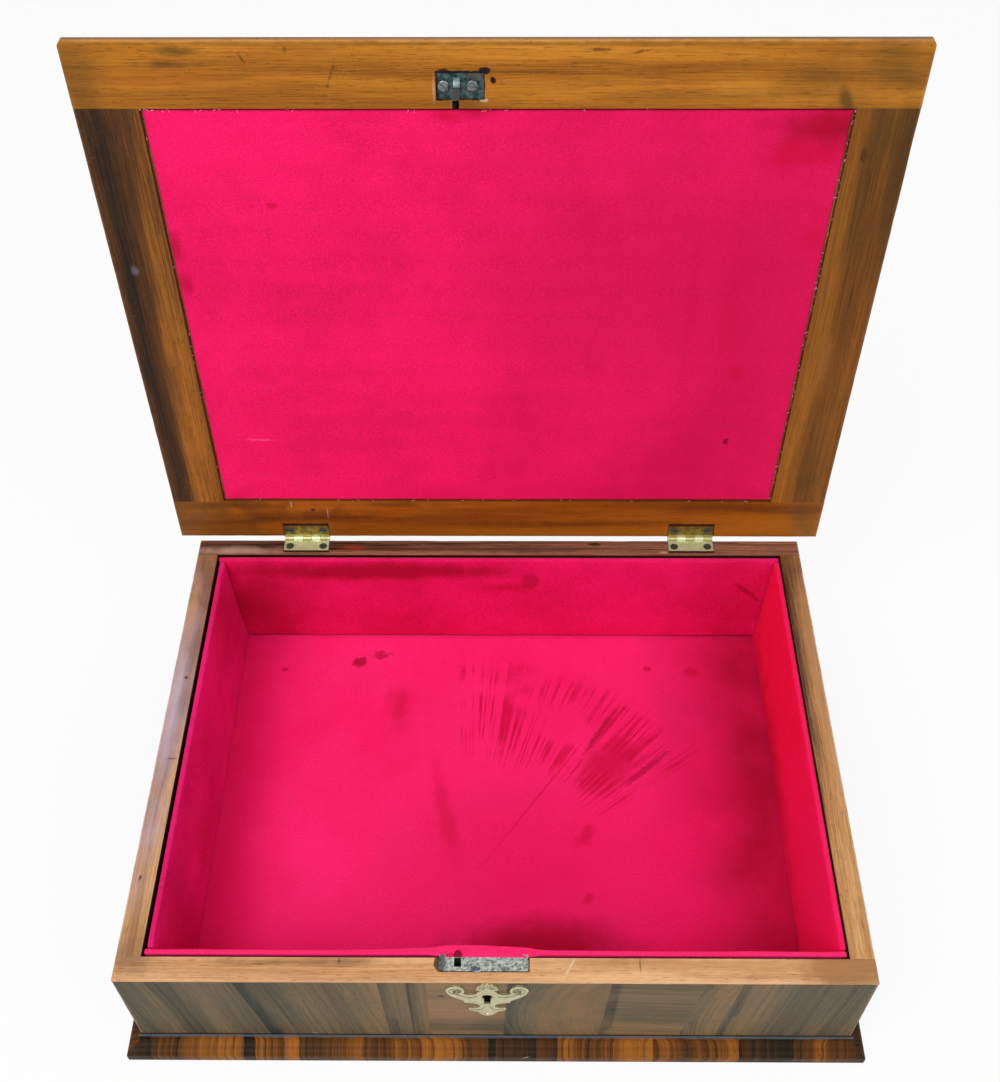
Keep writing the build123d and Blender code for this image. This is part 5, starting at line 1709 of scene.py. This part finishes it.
@dataclass
class FramedLid:
    """Rails, stiles, panel and field of the lid."""

    streak_start: float = -0.2185
    streak_drift: float = 17 * MM
    streak_reach: tuple[float, float] = (0.120, 0.314)
    streak_width: float = 7 * MM
    outer_x: float = 226 * MM
    outer_y: tuple[float, float] = (2 * MM, 348 * MM)

    def rubbed_rim(self, middle: Vector) -> bool:
        """Tell the arrises round the outside of the lid, which hands rub."""
        return (abs(middle.x) > self.outer_x or middle.y < self.outer_y[0]
                or middle.y > self.outer_y[1])

    def stile_tone(self, place: Vector) -> float:
        """Find the left stile's tone: dark outside, with a honey strip beside the velvet.

        Args:
            place: The point, in the lid's space.

        Returns:
            The tone, from 0 for the darkest to 1 for the lightest.
        """
        wander = 4 * MM * noise.noise(Vector((place.y * 14, 3.0, 0.0)))
        low, high = self.streak_reach
        drift = self.streak_drift * clamped((place.y - low) / (high - low))
        share = (place.x - self.streak_start - drift + wander) / self.streak_width
        return 0.30 + 0.46 * clamped(share)

    def front_tone(self, place: Vector) -> float:
        """Tone of the front rail: darker towards the right."""
        return 0.52 - 0.5 * place.x

    def right_tone(self, place: Vector) -> float:
        """Tone of the right stile: lighter beside the velvet and darker outside."""
        wander = 7 * MM * noise.noise(Vector((place.y * 8, 9.0, 0.0)))
        return 0.62 - 0.22 * clamped((place.x + wander - 196 * MM) / (22 * MM))

    def build(self) -> None:
        """Build the wooden parts of the lid."""
        rail, stile = (6 * MM, 0.0, 0.0), (4 * MM, 6 * MM, 0.0)
        shared = {"body": Body.LID, "space": LID_SPACE, "exposed": self.rubbed_rim}
        honey = Slot.WALNUT_HONEY
        Board("lid_front_rail", finish=LID_HONEY, slot=honey, seed=51, slices=rail,
              tone=self.front_tone, **shared).build()
        Board("lid_back_rail", finish=RAIL_RED, slot=Slot.WALNUT_RED, seed=52, slices=rail,
              shape=OPENING.rear_edge, **shared).build()
        Board("lid_left_stile", finish=STILE_DARK, slot=honey, seed=53, along=Along.Y,
              slices=stile, tone=self.stile_tone, shape=OPENING.all_edges, **shared).build()
        Board("lid_right_stile", finish=STILE_BROWN, slot=honey, seed=54, along=Along.Y,
              slices=stile, tone=self.right_tone, shape=OPENING.all_edges, **shared).build()
        Board("lid_top_veneer", finish=FIELD_WALNUT, slot=Slot.WALNUT_DARK, seed=55,
              slices=(12 * MM, 12 * MM, 0.0), **shared).build()
        Board("lid_panel", finish=RAW_PINE, slot=Slot.PINE, seed=56, slices=UNCUT,
              **shared).build()


# ----- Velvet -----
@dataclass
class VelvetSlab(Board):
    """A velvet-covered card or pad: rounded, sliced fine and swollen a little by cloth."""

    back: int = 2
    side: int = -1
    rounding: float = 1.2 * MM
    cell: float = 5 * MM
    sliced_from: float = 12 * MM
    ruffle: float = 0.25 * MM
    ruffle_pitch: float = 45.0
    facing: float = 0.8
    most: float = 0.7 * MM
    push: Callable[[Vector], Vector] = lambda place: Vector((0, 0, 0))
    piece: Object | None = None

    def build(self) -> Object:
        """Make the slab, ready to swell.

        Returns:
            The slab, with a vertex group that holds its glued back.
        """
        bm = self.take_over()
        low, high = corners([vertex.co for vertex in bm.verts])
        round_over(bm, bm.edges[:], min(self.rounding, 0.4 * min(high - low)), 3)
        slice_mesh(bm, tuple(self.cell if extent > self.sliced_from else 0.0 for extent in high - low))
        bm.normal_update()
        glued = {vertex.index for vertex in bm.verts
                 if vertex.normal[self.back] * self.side > self.facing}
        for vertex in bm.verts:
            lift = self.ruffle * noise.noise(vertex.co * self.ruffle_pitch)
            lift = 0.0 if vertex.index in glued else lift
            vertex.co += vertex.normal * lift + self.push(vertex.co)
        self.piece = keep(f"{self.node}_velvet", bm, self.space, self.body, self.finish,
                          (self.node,), sharp=75.0)
        self.piece.vertex_groups.new(name="glued").add(sorted(glued), 1.0, "REPLACE")
        return self.piece

    def arm(self) -> None:
        """Give the slab its cloth."""
        cloth = self.piece.modifiers.new("swell", "CLOTH")
        cloth.settings.quality = 6
        cloth.settings.mass = 0.25
        cloth.settings.tension_stiffness = cloth.settings.compression_stiffness = 18
        cloth.settings.bending_stiffness = 2.5
        cloth.settings.use_pressure = True
        cloth.settings.uniform_pressure_force = 4.0
        cloth.settings.effector_weights.gravity = 0.0
        cloth.settings.vertex_group_mass = "glued"
        cloth.collision_settings.use_collision = False
        cloth.point_cache.frame_start, cloth.point_cache.frame_end = 1, SETTLING_FRAMES

    def settle(self) -> None:
        """Take the swollen shape, no further than the cap, and drop the cloth."""
        graph = bpy.context.evaluated_depsgraph_get()
        swollen = [vertex.co.copy() for vertex in self.piece.evaluated_get(graph).data.vertices]
        self.piece.modifiers.clear()
        for vertex, target in zip(self.piece.data.vertices, swollen):
            move = target - vertex.co
            if move.length > self.most:
                move = move * (self.most / move.length)
            vertex.co += move

    def smooth(self) -> None:
        """Add the last subdivision."""
        finer = self.piece.modifiers.new("finer", "SUBSURF")
        finer.levels = finer.render_levels = 1


@dataclass
class VelvetWell:
    """All velvet: the floor, the linings, and the lid's pad with its frayed border."""

    bulge_place: float = -18 * MM
    bulge_reach: float = 40 * MM
    bulge_depth: float = 2.4 * MM
    bulge_from: float = 40 * MM
    bulge_height: float = 54 * MM
    card_middle: float = -150 * MM
    lip_span: Triple = (-35.0 * MM, -6.3 * MM, 22.4 * MM)
    lip_start: float = 92.7 * MM
    lip_level: float = 95.1 * MM
    lip_reach: float = 2.3 * MM
    threads: int = 110
    thread_step: float = 0.55 * MM
    seed: int = 61

    def bulge(self, place: Vector) -> Vector:
        """Push the front lining's top over the back of the lock.

        Args:
            place: A point of the lining.

        Returns:
            How far it moves.
        """
        near = math.exp(-((place.x - self.bulge_place) / self.bulge_reach) ** 2)
        high = max(0.0, (place.z - self.bulge_from) / self.bulge_height)
        inner = 1.0 if place.y > self.card_middle else 0.1
        move = Vector((0.0, self.bulge_depth * near * inner * high ** 2, 0.0))
        over = hat(place.x, *self.lip_span) * 12
        if place.z > self.lip_start and over > 0:
            over = min(1.0, over)
            outside = clamped((self.card_middle - place.y) / (1.4 * MM))
            rise = self.lip_level + 0.2 * (place.z - self.lip_start) - place.z
            move += Vector((0.0, -self.lip_reach * outside, rise)) * over
        return move

    def slabs(self) -> list[VelvetSlab]:
        """List the padded pieces.

        Returns:
            The slabs, not built yet.
        """
        shared = {"body": Body.CASE, "slot": Slot.VELVET}
        return [
            VelvetSlab("floor_pad", finish=FLOOR_VELVET, most=0.3 * MM, **shared),
            VelvetSlab("lining_front", finish=FRONT_VELVET, back=1, push=self.bulge, **shared),
            VelvetSlab("lining_back", finish=BACK_VELVET, back=1, side=1, **shared),
            VelvetSlab("lining_left", finish=LEFT_VELVET, back=0, **shared),
            VelvetSlab("lining_right", finish=RIGHT_VELVET, back=0, side=1, **shared),
            VelvetSlab("lid_velvet_pad", Body.LID, PAD_VELVET, Slot.VELVET, space=LID_SPACE,
                       shape=OPENING.all_edges),
        ]

    def thread(self, dice: random.Random, low: Vector, high: Vector) -> list[Vector]:
        """Throw one loose thread.

        Args:
            dice: The source of chance.
            low: The lowest corner of the pad, in the lid's space.
            high: The highest corner of the pad.

        Returns:
            Places along the thread, in the frame.
        """
        edge = dice.choices(("right", "top", "left", "bottom"), (6, 3, 1, 2))[0]
        share = dice.random()
        x = low.x + (high.x - low.x) * share
        y = low.y + (high.y - low.y) * share
        start = {"right": Vector((high.x, y, 0)), "left": Vector((low.x, y, 0)),
                 "top": Vector((low.x + (high.x - low.x) * share ** 3, high.y, 0)),
                 "bottom": Vector((x, low.y, 0))}[edge]
        start.z = high.z + 0.1 * MM
        heading = dice.uniform(0, 2 * math.pi)
        places = []
        for index in range(4):
            places.append(LID_SPACE @ OPENING.all_edges(start))
            heading += dice.uniform(-0.7, 0.7)
            start += Vector((math.cos(heading) * self.thread_step, math.sin(heading) * self.thread_step,
                             0.12 * MM if index == 0 else -0.08 * MM))
        return places

    def fray(self) -> None:
        """Add short loose threads round the lid's pad."""
        low, high = box_in(LID_SPACE, "lid_velvet_pad")
        dice = random.Random(self.seed)
        draw_lines("pad_threads", [self.thread(dice, low, high) for _ in range(self.threads)],
                   (0.11 * MM, 1), THREAD_VELVET, Body.LID)

    def build(self) -> None:
        """Build every slab and swell them together."""
        slabs = self.slabs()
        for slab in slabs:
            slab.build()
        for slab in slabs:
            slab.arm()
        for number in range(1, SETTLING_FRAMES + 1):
            bpy.context.scene.frame_set(number)
        for slab in slabs:
            slab.settle()
        bpy.context.scene.frame_set(1)
        for slab in slabs:
            slab.smooth()
        self.fray()


# ----- Metal -----
@dataclass
class Ironmongery:
    """The lock, hinges, catch and fastenings kept from CAD, each with its metal."""

    metals: tuple[tuple[MetalFinish, tuple[str, ...]], ...] = (
        (IRON, ("lock_plate", "lock_casing", "drill_pin", "guide_stud", "lock_spring",
                "lock_bolt")),
        (SCREW_STEEL, ("catch_screws",)),
        (DARK_IRON, ("bottom_nails", "lock_screws", "hinge_case_screws", "hinge_lid_screws")),
        (BLUED, ("catch_plate",)),
        (TONGUE_STEEL, ("catch_tongue",)),
        (BRASS, ("escutcheon", "escutcheon_pins")),
        (LIT_HINGE_BRASS, ("left_hinge_case_leaf", "right_hinge_case_leaf", "left_hinge_pin",
                       "right_hinge_pin")),
        (SHADED_LEAF_BRASS, ("left_hinge_lid_leaf", "right_hinge_lid_leaf")),
    )

    def build(self) -> None:
        """Give every kept node its metal."""
        for finish, names in self.metals:
            for name in names:
                mesh = frame["nodes"][name].data
                mesh.materials.clear()
                mesh.materials.append(SHELF.of(finish))
                log.info("%s: %s", name, finish.name)


@dataclass
class EscutcheonRelief:
    """Lines chased into the escutcheon: flutes, scrolls and veins, drawn dark to paint the shade in
    their grooves as well as the old polish left in them.
    """

    centre: Vector = field(default_factory=lambda: Vector(millimetres(-4.3, -169.35, 76.5)))
    bead: float = 0.22 * MM
    shell_height: float = 10.5
    flutes: int = 7
    eye: tuple[float, float] = (17.0, 7.6)
    wing_vein: tuple[tuple[float, float], ...] = (
        (5.6, 1.0), (9.0, -0.6), (12.4, 0.2), (16.0, 2.4), (19.4, 5.4))
    tail_vein: tuple[tuple[float, float], ...] = (
        (1.2, -13.0), (3.0, -16.8), (6.4, -18.0), (9.6, -17.0))

    def scroll(self, sign: int) -> list[tuple[float, float]]:
        """Draw one wing's spiral, from its eye out along the wing's upper edge.

        Args:
            sign: -1 for the left wing and 1 for the right one.

        Returns:
            Its points, as millimetres right of and above the keyhole.
        """
        points = []
        for step in range(26):
            turn = step / 25 * 3.6 * math.pi
            radius = 0.8 + 3.9 * step / 25
            points.append((sign * (self.eye[0] + 0.6 - radius * math.cos(turn)),
                           self.eye[1] + 0.4 + radius * 0.9 * math.sin(turn)))
        return points

    def lines(self) -> list[list[tuple[float, float]]]:
        """List the chased lines.

        Returns:
            Each line's points, as millimetres right of and above the keyhole.
        """
        found = []
        for index in range(self.flutes):
            angle = math.radians(10 + 160 * index / (self.flutes - 1))
            found.append([(radius * math.cos(angle), self.shell_height + radius * math.sin(angle))
                          for radius in (1.9, 3.2, 4.6, 5.7)])
        for sign in (-1, 1):
            found.append(self.scroll(sign))
            for vein in (self.wing_vein, self.tail_vein):
                found.append([(sign * x, z) for x, z in vein])
        return found

    def build(self) -> None:
        """Make the relief as one bevelled curve that rides on the case."""
        lines = [[self.centre + Vector((x * MM, 0, z * MM)) for x, z in line] for line in self.lines()]
        draw_lines("escutcheon_relief", lines, (self.bead, 2), GROOVE_SHADE_AND_POLISH, Body.CASE)


# ----- Studio -----
@dataclass(frozen=True)
class SoftBox:
    """One large lamp: where it stands, what it looks at, its size in metres and its watts."""

    name: str
    place: Triple
    aim: Triple
    size: float
    power: float


@dataclass
class Studio:
    """Floor, lamps, world and camera."""

    camera_place: Triple = (0.007342, -0.466431, 0.773488)
    pitch: float = 51.690
    yaw: float = -0.592
    roll: float = -0.333
    lens: float = 42.714
    shift: tuple[float, float] = (-0.00022, 0.0988)
    floor_size: float = 12.0
    boxes: tuple[SoftBox, ...] = (
        SoftBox("key", (-0.9, -1.3, 2.1), (0, 0, 0.1), 1.6, 34.0),
        SoftBox("fill", (1.3, -1.2, 1.5), (0, 0, 0.15), 1.4, 12.0),
    )

    def camera(self) -> None:
        """Place the camera."""
        tilt, turn, twist = (math.radians(a) for a in (self.pitch, self.yaw, self.roll))
        ahead = Vector((math.sin(turn) * math.cos(tilt), math.cos(turn) * math.cos(tilt),
                        -math.sin(tilt)))
        level = Vector((math.cos(turn), -math.sin(turn), 0))
        upward = level.cross(ahead)
        right = level * math.cos(twist) + upward * math.sin(twist)
        top = upward * math.cos(twist) - level * math.sin(twist)
        data = bpy.data.cameras.new("camera")
        data.lens, data.sensor_width, data.sensor_fit = self.lens, 36.0, "AUTO"
        data.shift_x, data.shift_y = self.shift
        data.clip_start, data.clip_end = 0.01, 50.0
        rig = in_scene("camera", data)
        rig.matrix_world = Matrix.Translation(self.camera_place) @ Matrix(
            (right, top, -ahead)).transposed().to_4x4()
        bpy.context.scene.camera = rig

    def lamps(self) -> None:
        """Hang the soft boxes."""
        for box in self.boxes:
            data = bpy.data.lights.new(box.name, "AREA")
            data.shape, data.size, data.energy = "SQUARE", box.size, box.power
            lamp = in_scene(box.name, data)
            lamp.location = box.place
            aim = Vector(box.aim) - Vector(box.place)
            lamp.rotation_euler = aim.to_track_quat("-Z", "Y").to_euler()

    def world(self) -> None:
        """Light softly from all round, and show white to the eye, gloss and glass."""
        sky = bpy.data.worlds.new("sky")
        bpy.context.scene.world = sky
        sky.use_nodes = True
        w = Wiring(sky.node_tree)
        seen = w.seen_by("Camera", "Transmission", "Glossy")
        w.give(sky.node_tree.nodes["Background"],
               {"Color": (1.0, 1.0, 1.0), "Strength": w.scaled(seen, 0.45, 0.55)})

    def floor(self) -> None:
        """Lay the pale floor, which glows a little to the eye so that it stays near white."""
        bm = bmesh.new()
        bmesh.ops.create_grid(bm, x_segments=1, y_segments=1, size=self.floor_size / 2)
        mesh = bpy.data.meshes.new("floor")
        bm.to_mesh(mesh)
        bm.free()
        material, w, shader = new_material("pale_floor")
        w.give(shader, {"Base Color": (0.86, 0.86, 0.86), "Roughness": 0.9,
                        "Specular IOR Level": 0.1})
        glow = w.node("ShaderNodeEmission").outputs[0]
        seen = w.product(w.seen_by("Camera", "Glossy"), 0.9)
        blend = w.node("ShaderNodeMixShader", seen, shader.outputs[0], glow)
        w.put(material.node_tree.nodes["Material Output"].inputs["Surface"], blend.outputs[0])
        mesh.materials.append(material)
        in_scene("floor", mesh)

    def build(self) -> None:
        """Set up the whole studio."""
        self.camera()
        self.lamps()
        self.world()
        self.floor()
        bpy.context.scene.view_settings.view_transform = "Standard"


def main() -> None:
    """Build the box and its studio."""
    logging.basicConfig(level=logging.INFO, format="%(message)s")
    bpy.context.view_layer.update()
    Studio().build()
    for assembly in (CaseShell(), FramedLid(), VelvetWell(), Ironmongery(), EscutcheonRelief()):
        assembly.build()
        log.info("%s done", type(assembly).__name__)
    bpy.context.view_layer.update()


if __name__ == "__main__":
    main()
